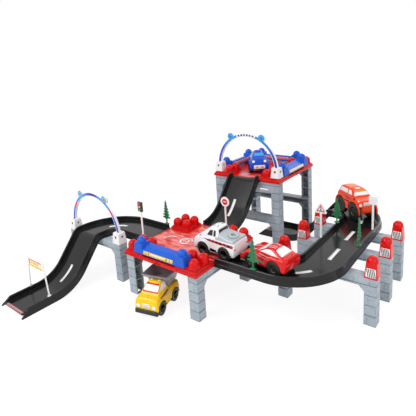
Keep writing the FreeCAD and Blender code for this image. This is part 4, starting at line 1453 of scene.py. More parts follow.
@dataclass
class Offroader(Vehicle):
    """The tall orange off-roader with white windows and a slatted grille."""

    name: str = "suv"
    width: float = 58.0
    half: float = 27.0
    floor: float = 20.5
    waist: float = 40.0
    hull_draw: float = 2.0
    hull_crown: float = 1.5
    cabin_in: float = 1.8
    cabin_draw: float = 7.0
    shell: tuple[Point2, ...] = (
        (49.5, 20.5), (51.5, 26.0), (52.0, 38.0), (51.5, 50.0), (48.5, 55.0), (38.0, 57.5),
        (22.0, 59.5), (0.0, 61.0), (-30.0, 61.0), (-45.0, 60.0), (-49.0, 55.0), (-49.5, 38.0),
        (-47.0, 20.5))
    cabin: tuple[Point2, ...] = (
        (-47.0, 56.0), (33.0, 56.0), (30.0, 60.0), (22.0, 72.5), (17.0, 76.8), (8.0, 78.4),
        (-12.0, 79.0), (-34.0, 78.2), (-40.5, 75.5), (-44.0, 66.0))

    def forms(self) -> list[Moulding]:
        """The shared forms, and the nose and tail between the wheels, which stand out further."""
        nose = [(38.0, self.floor), *self.shell[:4], (38.0, 50.0)]
        tail = [(-36.0, 50.0), *self.shell[-3:], (-36.0, self.floor)]
        return super().forms() + [Loft(softened(outline, 1.0), 15.6, 40.0, 61.0, 0.5, 0.0, 2.0)
                                  for outline in (nose, tail)]

    def trim(self) -> None:
        """Windows, hatch, grille, lamps and side marks."""
        rear = softened([(-40.0, 63.0), (-38.5, 74.0), (-5.0, 74.5), (-3.0, 64.0)], 1.5)
        door = softened([(0.0, 64.0), (0.0, 74.5), (11.0, 74.5), (19.5, 64.0)], 1.5)
        self.lay_both("side_windows", [rear, door], WHITE_INK)
        self.lay("windscreen", Side.FRONT,
                 [pane(21.0, 63.5, 18.0, 72.0, 1.5)],
                 WHITE_INK)
        self.lay("visor", Side.FRONT, [[(-18.0, 72.4), (18.0, 72.4), (16.8, 75.5),
                                        (-16.8, 75.5)]], GOLD_INK)
        self.lay("hatch", Side.TOP, [softened(in_box(4.0, -7.0, 12.0, 7.0), 2.0)], WHITE_INK)
        self.lay("roof_panel", Side.TOP, [
            [(-38.0, -15.0), (-3.0, -15.0), (-3.0, 15.0), (-38.0, 15.0)]], ROOF_INK)
        self.lay("grille", Side.FRONT, [softened(in_box(-9.5, 42.5, 9.5, 51.5), 1.5)], WHITE_INK)
        self.lay("grille_slots", Side.FRONT,
                 [in_box(y - 0.7, 44.0, y + 0.7, 50.0) for y in (-6.6, -3.3, 0.0, 3.3, 6.6)],
                 GREY_INK, 2)
        self.dots("lamps", Side.FRONT, pair(18.5, 45.0), 4.2, 1.8, LAMP_WHITE)
        self.dots("side_lamps", Side.TOP, [(46.0, 21.0), (46.0, -21.0)], 2.4, 1.4, LAMP_WHITE)
        marks = [[(x, 50.0), (x + 4.5, 51.0), (x + 2.0, 56.5), (x - 2.5, 55.5)]
                 for x in (-4.0, 3.0, 10.0)]
        self.lay_both("flank_marks", marks, DARK_RED_INK)
        self.lay_both("flank_flashes", [[(-18.0, 55.5), (-8.0, 52.0), (-9.0, 56.5)],
                                        [(16.0, 56.5), (24.0, 53.5), (22.0, 57.0)]], RED_INK)
        self.dots("tail_lamps", Side.BACK, pair(22.0, 50.0), 2.8, 1.0, LAMP_RED)


@dataclass
class Coupe(Vehicle):
    """The round blue coupe with a white bumper."""

    name: str = "coupe"
    width: float = 60.0
    half: float = 27.5
    waist: float = 26.0
    hull_draw: float = 8.0
    hull_crown: float = 4.0
    cabin_in: float = 6.0
    cabin_draw: float = 11.0
    shell: tuple[Point2, ...] = (
        (45.6, 12.5), (46.4, 16.0), (46.8, 22.0), (45.8, 32.0), (41.0, 39.5), (32.0, 44.0),
        (18.0, 46.5), (0.0, 47.5), (-18.0, 46.5), (-32.0, 42.8), (-42.0, 35.0), (-46.0, 24.0),
        (-46.2, 18.0), (-45.4, 12.5))
    cabin: tuple[Point2, ...] = (
        (-33.0, 40.0), (26.0, 40.0), (23.0, 46.0), (14.0, 53.5), (5.0, 59.0), (-3.0, 60.8),
        (-11.0, 60.2), (-20.0, 56.5), (-29.0, 48.5))

    def trim(self) -> None:
        """Windows, bumper cover and lamps."""
        self.lay("windscreen", Side.FRONT,
                 [pane(19.0, 47.5, 15.0, 55.5, 3.0)],
                 SKY_INK)
        side = softened([(15.0, 48.0), (5.0, 56.0), (-11.0, 56.5), (-23.0, 48.0)], 2.0)
        self.lay_both("side_windows", [side], GLASS_BLACK)
        self.lay("rear_window", Side.BACK,
                 [pane(17.0, 47.5, 14.0, 56.0, 2.0)],
                 GLASS_BLACK)
        self.lay("bumper_cover", Side.FRONT, [softened(in_box(-16.5, 14.0, 16.5, 25.5), 2.0)],
                 WHITE_INK)
        self.lay("bumper_slots", Side.FRONT, [in_box(-11.5, 17.0, -4.0, 22.0),
                                              in_box(4.0, 17.0, 11.5, 22.0)], PINK_INK, 2)
        self.dots("lamps", Side.FRONT, pair(17.0, 36.0), 4.0, 1.8, LAMP_WHITE)
        self.dots("tail_lamps", Side.BACK, pair(20.0, 33.0), 2.6, 1.0, LAMP_RED)


@dataclass
class Dumper(Vehicle):
    """The yellow dump truck with a grey bed and a white grille."""

    name: str = "dumper"
    hull_draw: float = 3.0
    cabin_in: float = 4.0
    cabin_draw: float = 8.0
    shell: tuple[Point2, ...] = (
        (45.0, 12.5), (48.5, 16.0), (50.0, 24.0), (49.0, 35.0), (44.5, 42.0), (35.0, 45.5),
        (20.0, 47.5), (0.0, 48.0), (-8.0, 47.0), (-12.0, 44.5), (-44.0, 44.0), (-49.5, 41.0),
        (-51.0, 26.0), (-49.0, 12.5))
    cabin: tuple[Point2, ...] = (
        (-8.0, 42.0), (34.0, 42.0), (32.0, 47.0), (21.0, 57.0), (13.0, 63.5), (8.0, 65.8),
        (0.0, 66.2), (-5.0, 65.6), (-7.5, 63.0))
    bed: tuple[tuple[float, float, float, float, float], ...] = (
        (-42.0, -10.0, 22.0, 44.0, 3.0), (-46.0, -8.0, 26.0, 51.0, 3.0),
        (-49.0, -6.0, 31.0, 68.0, 3.0), (-49.5, 4.0, 32.0, 69.0, 3.0),
        (-51.0, 11.0, 33.5, 77.0, 3.0), (-50.4, 10.4, 33.0, 78.0, 3.0),
        (-48.4, 8.4, 31.0, 78.0, 3.0), (-47.0, 2.0, 29.4, 69.5, 3.0),
        (-43.0, -9.0, 23.0, 53.5, 3.0))

    def coachwork(self) -> None:
        """Make the moulded body and the open bed."""
        super().coachwork()
        stand_in("dumper_bed", self.moulded("dumper_bed_moulding", [Tub(self.bed)]))
        self.bumper("bumper", 52.5, 6.5, 30.0, 8.0, 18.5, SLOT_FINISHES["chassis_black"])

    def trim(self) -> None:
        """Windows, grille, lamps and side stripes."""
        screen = pane(20.5, 49.0, 17.5, 63.0, 2.0)
        self.lay("windscreen_frame", Side.FRONT, [screen], RED_INK)
        glass = pane(19.3, 51.0, 17.0, 60.5, 2.0)
        self.lay("windscreen", Side.FRONT, [glass], WHITE_INK, 2)
        side = softened([(23.0, 50.5), (9.5, 62.0), (-4.5, 62.5), (-5.5, 50.0)], 1.5)
        self.lay_both("side_windows", [side], WHITE_INK)
        self.lay("grille", Side.FRONT, [softened(in_box(-9.5, 22.5, 9.5, 32.5), 1.5)], WHITE_INK)
        self.lay("grille_slots", Side.FRONT,
                 [in_box(-7.5, z - 0.5, 7.5, z + 0.5) for z in (25.0, 27.5, 30.0)], STONE_INK, 2)
        self.dots("lamps", Side.FRONT, pair(20.0, 26.0), 4.6, 2.0, LAMP_WHITE)
        self.dots("roof_lamps", Side.TOP, [(3.0, -10.0), (3.0, 10.0)], 3.0, 1.6, LAMP_WHITE)
        self.lay("bonnet_line", Side.TOP, [in_box(33.0, -0.6, 43.0, 0.6)], GOLD_INK)
        stripe = [(31.0, 38.0), (31.0, 41.5), (-7.0, 46.0), (-7.0, 41.5), (6.0, 38.5)]
        self.lay_both("stripe", [stripe], BLACK_INK)
        self.lay_both("stripe_checks", checks(4.0, 28.0, lambda x: 38.9, 2.4, 4, 1.4), RED_INK, 2)
        self.dots("tail_lamps", Side.BACK, pair(24.0, 30.0), 2.8, 1.0, LAMP_RED)


# Track and buildings


def layout_place(x: float = 0.0, y: float = 0.0, z: float = 0.0) -> Place:
    """A place in the layout, in millimetres from the lower deck's front left corner."""
    low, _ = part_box("lower_deck")
    return Place(Vector((low.x, low.y, 0.0)) + Vector((x, y, z)) * MM)


@dataclass
class RoadMarks:
    """White dashes on the road and the warning bars at its two low ends."""

    curve_r: float = 78.0
    dash_w: float = 8.5
    dash_l: float = 52.0
    side_x: float = 421.0
    left_leg_x: float = -169.0
    middle: float = 112.0
    right_curve: Point2 = (343.0, 190.0)
    back_curve: Point2 = (343.0, 428.0)
    left_curve: Point2 = (-91.0, 34.0)
    end_w: float = 36.0

    def dash(self, label: str, node: str, outline: Outline) -> None:
        """Lay one white dash from above."""
        Sticker(f"road_{label}", node, layout_place(), Side.TOP, [outline],
                WHITE_INK, 1, 4.0, 0.12).build()

    def along_y(self, x: float, y: float, length: float) -> Outline:
        """A dash that runs along Y."""
        half = self.dash_w / 2
        return in_box(x - half, y - length / 2, x + half, y + length / 2)

    def warning(self, label: str, node: str, low: Point2, high: Point2, count: int) -> None:
        """Lay a pale bar with darker stripes across a low end.

        Args:
            label: The sticker's name.
            node: The end piece.
            low: The bar's lowest corner in the layout.
            high: Its highest corner.
            count: How many stripes it has.
        """
        place = layout_place()
        Sticker(f"{label}_bar", node, place, Side.TOP, [in_box(*low, *high)], PINK_INK).build()
        long = 0 if high[0] - low[0] > high[1] - low[1] else 1
        pitch = (high[long] - low[long]) / count
        stripes = []
        for index in range(count):
            start = low[long] + (index + 0.25) * pitch
            stripe = in_box(start, low[1 - long] + 1.0, start + pitch / 2, high[1 - long] - 1.0)
            stripes.append(stripe if long == 0 else [(a, b) for b, a in stripe])
        Sticker(f"{label}_stripes", node, place, Side.TOP, stripes, ROSE_INK, 2).build()

    def build(self) -> None:
        """Lay every road mark."""
        half = self.dash_w / 2
        self.dash("side_near", "track_side_straight_near",
                  self.along_y(self.side_x + 5.0, 235.0, self.dash_l + 8.0))
        self.dash("side_far", "track_side_straight_far",
                  self.along_y(self.side_x + 2.0, 345.0, self.dash_l + 6.0))
        self.dash("back_bend", "track_back_curve",
                  on_bend(*self.back_curve, self.curve_r, half, 2.0, 20.0))
        self.dash("front_bend", "track_front_curve",
                  on_bend(*self.right_curve, self.curve_r + 8.0, half, -58.0, -34.0))
        self.dash("left_bend", "track_left_curve",
                  on_bend(*self.left_curve, self.curve_r, half, 107.0, 146.0))
        self.dash("left_ramp", "track_left_ramp", self.along_y(self.left_leg_x, -62.0, 40.0))
        self.dash("tower_ramp", "track_tower_ramp", self.along_y(self.middle, 296.0, 39.0))
        self.dash("front_straight", "track_front_straight",
                  in_box(262.0, self.middle - half, 262.0 + self.dash_l, self.middle + half))
        half_end = self.end_w
        low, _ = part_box("track_left_end")
        y = (low.y - layout_place().origin.y) / MM + 4.0
        self.warning("left_end", "track_left_end", (self.left_leg_x - half_end, y),
                     (self.left_leg_x + half_end, y + 8.0), 9)
        low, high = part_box("track_back_end")
        corner = layout_place().origin
        x = (low.x - corner.x) / MM + 4.0
        y = ((low.y + high.y) / 2 - corner.y) / MM
        self.warning("back_end", "track_back_end", (x, y - half_end), (x + 8.0, y + half_end), 9)


@dataclass
class DeckPrint:
    """The glossy printed crossing on each deck."""

    deck: float = 224.0
    pad: float = 66.0
    margin: float = 4.0
    tower_y: float = 369.0
    middle: float = 112.0

    def build(self) -> None:
        """Lay the crossings, their rings and swirls."""
        low, high = self.pad + self.margin, self.deck - self.pad - self.margin
        edge = self.margin
        cross = [(edge, low), (low, low), (low, edge + 30.0), (high, edge + 30.0), (high, low),
                 (self.deck - edge, low), (self.deck - edge, high), (high, high),
                 (high, self.deck - edge), (low, self.deck - edge), (low, high), (edge, high)]
        place = layout_place()
        # The crossing's red print carries streaks of painted reflection.
        Sticker("lower_crossing", "lower_deck", place, Side.TOP, [cross], ROAD_PRINT,
                step=6.0).build()
        rings = [on_bend(self.middle - 16.0, self.middle + 6.0, 15.0, 2.4, 20.0, 330.0, 22),
                 on_bend(self.middle - 16.0, self.middle + 6.0, 7.5, 1.8, -60.0, 200.0, 16),
                 on_bend(self.middle + 6.0, self.middle + 34.0, 13.0, 2.0, 60.0, 300.0, 18),
                 on_bend(self.middle - 58.0, self.middle - 8.0, 20.0, 1.6, 80.0, 180.0, 12)]
        Sticker("lower_crossing_rings", "lower_deck", place, Side.TOP, rings, WHITE_INK, 2,
                6.0).build()
        tower = layout_place(0.0, self.tower_y)
        patch = softened(in_box(80.0, 6.0, 146.0, 44.0), 2.0)
        # The patch's red print carries streaks of painted reflection.
        Sticker("tower_patch", "tower_deck", tower, Side.TOP, [patch], ROAD_PRINT,
                step=6.0).build()
        bars = [in_box(84.0 + 10.0 * k, 10.0, 88.0 + 10.0 * k, 22.0) for k in range(6)]
        Sticker("tower_patch_bars", "tower_deck", tower, Side.TOP, bars, PINK_INK, 2).build()


@dataclass
class CapBars:
    """White plates with slanted black bars on the outer faces of the gate caps."""

    half: float = 10.2
    low: float = 3.0
    high: float = 21.5
    bars: int = 5
    lean: float = 3.6

    def build(self) -> None:
        """Lay one plate on each of the six caps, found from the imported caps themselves."""
        for index, middle in enumerate(self.middles()):
            place = Place(middle, FRONTWARDS)
            name = f"cap_plate_{index + 1}"
            plate = [(-self.half, self.low), (self.half, self.low), (self.half - 1.0, self.high),
                     (-self.half + 1.0, self.high)]
            Sticker(name, "gate_caps", place, Side.FRONT, [plate], WHITE_INK, far=30.0).build()
            pitch = (2 * self.half - self.lean) / self.bars
            bars = []
            for bar in range(self.bars):
                a = -self.half + 1.1 + bar * pitch
                bars.append([(a + self.lean, self.low + 0.9), (a + self.lean + pitch * 0.52,
                                                              self.low + 0.9),
                             (a + pitch * 0.52, self.high - 0.9), (a, self.high - 0.9)])
            Sticker(name + "_bars", "gate_caps", place, Side.FRONT, bars, BLACK_INK, 2,
                    far=30.0).build()

    def middles(self) -> list[Vector]:
        """The foot of each cap's middle, from the gates that carry them."""
        found = []
        for gate in ("gate_side_front", "gate_side_middle", "gate_side_back"):
            low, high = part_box(gate)
            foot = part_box("gate_caps")[0].z
            for x in (low.x + 12.0 * MM, high.x - 12.0 * MM):
                found.append(Vector((x, (low.y + high.y) / 2, foot)))
        return found


@dataclass
class Arch:
    """One arch: its deep band with the print, and its two round badges."""

    node: str = "arch_left"
    blocks: str = "arch_blocks_left"
    span: float = 192.0
    rise: float = 87.0
    block_h: float = 28.0
    band: float = 9.4
    deep: float = 6.0
    disc_r: float = 11.2
    disc_angle: float = 30.0
    bolt_ring: float = 4.4
    stops: tuple[tuple[float, Colour], ...] = ()
    mark: Plastic = STONE_INK

    def radius(self) -> float:
        """The band's middle radius."""
        return ((self.span / 2) ** 2 + self.rise ** 2) / (2 * self.rise)

    def centre(self) -> Vector:
        """The arch's centre in millimetres, from its packed blocks."""
        low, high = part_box(self.blocks)
        height = low.z / MM + self.block_h + self.rise - self.radius()
        return Vector(((low.x + high.x) / 2 / MM, (low.y + high.y) / 2 / MM, height))

    def spots(self) -> list[Point2]:
        """Where the badges' middles are, from the arch's centre."""
        reach = self.radius() + self.band / 2 + self.disc_r / 4
        turn = math.radians(self.disc_angle)
        return [(side * reach * math.sin(turn), reach * math.cos(turn)) for side in (-1, 1)]

    def moulding(self, points: int = 57) -> Mesh:
        """The band and its two discs as one mesh, in place."""
        form = bmesh.new()
        end = math.asin(min(1.0, self.span / 2 / self.radius()))
        if self.rise > self.radius():
            end = math.pi - end
        rings = []
        for k in range(points):
            angle = end * (2 * k / (points - 1) - 1)
            ring = []
            for reach, y in ((-1, -1), (1, -1), (1, 1), (-1, 1)):
                r = self.radius() + reach * self.band / 2
                ring.append(form.verts.new(Vector((r * math.sin(angle), y * self.deep / 2,
                                                   r * math.cos(angle))) * MM))
            rings.append(ring)
        skin_over(form, rings)
        half, edge = self.deep / 2 + 0.3, 0.7
        for a, b in self.spots():
            disc = turned([(-half, 0.0), (-half, self.disc_r - edge), (edge - half, self.disc_r),
                           (half - edge, self.disc_r), (half, self.disc_r - edge), (half, 0.0)],
                          48)
            disc.transform(Matrix.Translation(Vector((a, 0.0, b)) * MM))
            take_in(form, disc)
        form.transform(Matrix.Translation(self.centre() * MM))
        return mesh_of(form, self.node + "_moulding", sharp=35.0)

    def build(self) -> None:
        """Make the arch, print its band and lay the badges."""
        centre = self.centre()
        printed = ArchPrint(f"print_{self.node}", srgb(242, 244, 248), 0.25, centre_x=centre.x,
                            centre_z=centre.z, radius=self.radius(), band=self.band,
                            stops=self.stops, rim=1.1)
        stand_in(self.node, self.moulding(), printed)
        place = Place(centre * MM, FRONTWARDS)
        for index, (a, b) in enumerate(self.spots()):
            label = f"{self.node}_badge_{index + 1}"
            for part, radius, finish, layer in (("ring", 10.4, SKY_INK, 1),
                                                ("plate", 7.0, self.mark, 2)):
                Sticker(f"{label}_{part}", self.node, place, Side.FRONT,
                        [in_round(a, b, radius)], finish, layer).build()
            bolts = [in_round(a + self.bolt_ring * x, b + self.bolt_ring * y, 1.1, 10)
                     for x, y in circle(5)]
            Sticker(f"{label}_bolts", self.node, place, Side.FRONT,
                    bolts + [in_round(a, b, 2.0, 14)], NAVY_INK, 3).build()


@dataclass
class ArchPanel:
    """The white panel with plain dark blocks on top of the tower's arch."""

    arch: Arch
    half_angle: float = 19.0
    blocks: int = 6

    def build(self) -> None:
        """Lay the panel and its blocks."""
        centre = self.arch.centre()
        place = Place(centre * MM, FRONTWARDS)
        radius = self.arch.radius()
        panel = on_bend(0.0, 0.0, radius, self.arch.band / 2 - 0.8, 90.0 - self.half_angle,
                        90.0 + self.half_angle, 16)
        Sticker("arch_tower_panel", self.arch.node, place, Side.FRONT, [panel],
                WHITE_INK).build()
        pitch = 2 * (self.half_angle - 2.0) / self.blocks
        marks = []
        for index in range(self.blocks):
            start = 90.0 - self.half_angle + 2.0 + index * pitch
            marks.append(on_bend(0.0, 0.0, radius, 2.5, start + pitch * 0.2, start + pitch * 0.8,
                                 4))
        Sticker("arch_tower_blocks", self.arch.node, place, Side.FRONT, marks, NAVY_INK,
                2).build()


@dataclass
class Railings:
    """The plain bright stickers on the railings' outer and inner faces."""

    def outer(self, node: str, forward: Vector, half: float, low: float, high: float,
              finish: Plastic, spots: Sequence[tuple[float, float, Plastic]] = ()) -> None:
        """Lay a sticker along a railing's long face.

        Args:
            node: The railing.
            forward: The way that the face looks.
            half: Half the sticker's length.
            low: Its lower edge above the railing's foot.
            high: Its upper edge.
            finish: Its ink.
            spots: The place along it, the radius and the ink of each round spot.
        """
        place = facing(node, forward)
        label = node + ("_inner" if finish is not YELLOW_INK and finish is not CREAM_INK else
                        "_outer")
        Sticker(label + "_sticker", node, place, Side.FRONT, [in_box(-half, low, half, high)],
                finish, step=4.0).build()
        for index, (a, radius, ink) in enumerate(spots):
            Sticker(f"{label}_spot_{index + 1}", node, place, Side.FRONT,
                    [in_round(a, (low + high) / 2, radius, 16)], ink, 2).build()

    def build(self) -> None:
        """Lay the stickers of all four railings."""
        spots = [(-38.0, 2.6, SKY_INK), (-29.0, 2.2, RED_INK), (27.0, 2.6, GREEN_INK),
                 (37.0, 2.4, SKY_INK)]
        self.outer("railing_lower", FRONTWARDS, 46.0, 1.0, 9.0, YELLOW_INK, spots)
        bars = [in_box(a, 3.2, a + 3.6, 6.8) for a in (-22.0, -16.5, -11.0, -5.5, 0.0, 5.5, 11.0,
                                                       16.5)]
        Sticker("railing_lower_outer_bars", "railing_lower", facing("railing_lower"), Side.FRONT,
                bars, WHITE_INK, 2).build()
        self.outer("railing_tower_back", FRONTWARDS, 44.0, 4.0, 14.0, ROSE_INK)
        self.outer("railing_tower_left", Vector((1.0, 0.0, 0.0)), 44.0, 4.0, 14.0, ROSE_INK)
        self.outer("railing_tower_right", Vector((1.0, 0.0, 0.0)), 46.0, 1.0, 9.0, CREAM_INK)


@dataclass
class Signs:
    """The faces of the road signs, the signal's lamps and the banner."""

    def round_sign(self, disc_z: float = 83.0) -> None:
        """A red disc with a white bar in a white rim."""
        place = facing("sign_round")
        Sticker("sign_round_red", "sign_round", place, Side.FRONT, [in_round(0.0, disc_z, 8.2)],
                RED_INK).build()
        Sticker("sign_round_bar", "sign_round", place, Side.FRONT,
                [in_box(-5.0, disc_z - 1.4, 5.0, disc_z + 1.4)], WHITE_INK, 2).build()

    def triangle(self) -> None:
        """A red border round a white field with a plain bend in it."""
        low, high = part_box("sign_triangle")
        tall = (high.z - low.z) / MM
        half = (high.x - low.x) / 2 / MM
        place = facing("sign_triangle")
        foot = tall - half * math.sqrt(3.0) + 3.0
        border = softened([(-half + 3.5, foot), (half - 3.5, foot), (0.0, tall - 3.5)], 2.0)
        field_ = softened([(-half + 6.6, foot + 1.7), (half - 6.6, foot + 1.7),
                           (0.0, tall - 8.0)], 1.2)
        Sticker("sign_triangle_border", "sign_triangle", place, Side.FRONT, [border],
                RED_INK).build()
        Sticker("sign_triangle_field", "sign_triangle", place, Side.FRONT, [field_], WHITE_INK,
                2).build()
        bend = [(-1.6, foot + 3.0), (0.6, foot + 3.0), (1.8, foot + 8.0), (0.2, foot + 12.0),
                (-1.4, foot + 12.0), (-0.2, foot + 8.0)]
        Sticker("sign_triangle_bend", "sign_triangle", place, Side.FRONT, [bend], BLACK_INK,
                3).build()

    def signal(self, head_low: float = 65.0, head_high: float = 90.0, lens_r: float = 3.1) -> None:
        """Three round lenses on the signal's head: red above amber above green."""
        place = facing("sign_traffic_light")
        pitch = (head_high - head_low) / 3
        for index, (label, finish) in enumerate((("green", LAMP_GREEN), ("amber", LAMP_AMBER),
                                                 ("red", LAMP_RED))):
            Dome(f"signal_lens_{label}", "sign_traffic_light", place, Side.FRONT,
                 [(0.0, head_low + (index + 0.5) * pitch)], lens_r, 1.4, finish).build()

    def banner(self, low: float = 61.5, high: float = 82.0, half: float = 29.0) -> None:
        """Bands of warm colour round a plain cream field on the start banner."""
        place = facing("sign_gantry")
        for label, outline, finish, layer in (
                ("field", in_box(-half, low + 0.8, half, high - 0.8), CREAM_INK, 1),
                ("foot", in_box(-half, low + 0.8, half, low + 6.5), YELLOW_INK, 2),
                ("head", in_box(-half, high - 4.5, half, high - 0.8), ORANGE_INK, 2),
                ("edge", in_box(-half, low + 6.5, -half + 8.0, high - 4.5), ORANGE_INK, 2)):
            Sticker(f"banner_{label}", "sign_gantry", place, Side.FRONT, [outline], finish,
                    layer, 5.0).build()
        blocks = [in_box(a, low + 9.5, a + 6.0, high - 7.5) for a in (-17.0, -8.5, 0.0, 8.5)]
        Sticker("banner_blocks", "sign_gantry", place, Side.FRONT, blocks, ORANGE_INK, 3).build()

    def build(self) -> None:
        """Dress all the signs."""
        self.round_sign()
        self.triangle()
        self.signal()
        self.banner()


@dataclass
class StoneGates:
    """The gates with a groove between each two courses of stone, cut all round into their legs."""

    course: float = 22.0
    groove: float = 1.3
    depth: float = 0.9

    def grooved(self, node: str) -> Mesh:
        """A copy of a gate's mesh with its grooves.

        Args:
            node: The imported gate.

        Returns:
            The new mesh, in place.
        """
        form = bmesh.new()
        form.from_mesh(NODES[node].data)
        bmesh.ops.remove_doubles(form, verts=list(form.verts), dist=1e-6)
        bmesh.ops.dissolve_limit(form, angle_limit=math.radians(1.0), verts=list(form.verts),
                                 edges=list(form.edges))
        low, high = (corner.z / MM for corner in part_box(node))
        level = self.course * math.ceil((low + 2.0) / self.course)
        levels = []
        while level < high - 2.0:
            levels.append(level)
            level += self.course
        for level in levels:
            for z in (level - self.groove, level, level + self.groove):
                everything = list(form.verts) + list(form.edges) + list(form.faces)
                bmesh.ops.bisect_plane(form, geom=everything, dist=1e-6,
                                       plane_co=(0.0, 0.0, z * MM), plane_no=(0.0, 0.0, 1.0))
        form.normal_update()
        moves = []
        for vertex in form.verts:
            if any(abs(vertex.co.z - level * MM) < 1e-6 for level in levels):
                flat = Vector((vertex.normal.x, vertex.normal.y, 0.0))
                if flat.length > 0.3:
                    reach = max(abs(flat.x), abs(flat.y)) / flat.length
                    moves.append((vertex, flat.normalized() * (self.depth * MM / reach)))
        for vertex, move in moves:
            vertex.co -= move
        bmesh.ops.triangulate(form, faces=[face for face in form.faces if len(face.verts) > 4])
        return mesh_of(form, node + "_stone", smooth=False)

    def build(self) -> None:
        """Let a grooved copy stand for each gate."""
        for node, slot in SLOT_OF.items():
            if slot == "brick_grey":
                stand_in(node, self.grooved(node))


@dataclass
class Trees:
    """Flat moulded trees with ragged branches, in place of the plainer packed ones."""

    node: str = "trees"
    tiers: int = 6
    bare: float = 0.25
    half: float = 13.5
    thick: float = 2.6
    foot: Point2 = (12.0, 8.0)
    foot_h: float = 2.6

    def stands(self) -> list[tuple[Vector, Vector]]:
        """The lowest and highest corner of each packed tree."""
        form = bmesh.new()
        form.from_mesh(NODES[self.node].data)
        bmesh.ops.remove_doubles(form, verts=list(form.verts), dist=1e-6)
        left = set(form.verts)
        found = []
        while left:
            queue, island = [left.pop()], []
            while queue:
                vertex = queue.pop()
                island.append(vertex.co.copy())
                for edge in vertex.link_edges:
                    other = edge.other_vert(vertex)
                    if other in left:
                        left.discard(other)
                        queue.append(other)
            found.append((Vector([min(co[k] for co in island) for k in range(3)]),
                          Vector([max(co[k] for co in island) for k in range(3)])))
        form.free()
        return found

    def outline(self, tall: float) -> Outline:
        """One tree's outline: a bare stem under tiers of drooping branches."""
        base = tall * self.bare
        step = (tall - base) / (self.tiers + 0.4)
        right = [(1.2, 0.0), (1.3, base * 0.9)]
        for tier in range(self.tiers):
            reach = self.half * (1 - tier / (self.tiers + 0.5))
            z = base + tier * step
            right += [(reach * 0.45, z - 0.08 * step), (reach * 0.62, z + 0.22 * step),
                      (reach, z + 0.02 * step), (reach * 0.86, z + 0.34 * step),
                      (reach * 0.94, z + 0.5 * step), (reach * 0.5, z + 0.72 * step),
                      (reach * 0.3, z + 0.94 * step)]
        return right + [(0.0, tall)] + [(-x, z) for x, z in reversed(right)]

    def build(self) -> None:
        """Make all the trees as one piece."""
        whole = bmesh.new()
        for low, high in self.stands():
            tree = bmesh.new()
            outline = self.outline((high.z - low.z) / MM)
            skin_over(tree, [[tree.verts.new((x * MM, y * self.thick / 2 * MM, z * MM))
                              for x, z in outline] for y in (-1, 1)])
            Tube([(0.0, 0.0, 1.0), (0.0, 0.0, (high.z - low.z) / MM * 0.92)], 1.9, 10).add_to(tree)
            Loft(softened(in_box(-self.foot[0] / 2, 0.0, self.foot[0] / 2, self.foot_h), 0.5),
                 self.foot[1] / 2, 0.0, self.foot_h, 0.5, 0.0, 0.8).add_to(tree)
            middle = (low + high) / 2
            turn = math.pi / 2 if high.y - low.y > high.x - low.x else 0.0
            tree.transform(Matrix.Translation((middle.x, middle.y, low.z))
                           @ Matrix.Rotation(turn, 4, "Z"))
            take_in(whole, mesh_of(tree, "tree", smooth=False))
        stand_in(self.node, mesh_of(whole, "ragged_trees", smooth=False))


# Studio


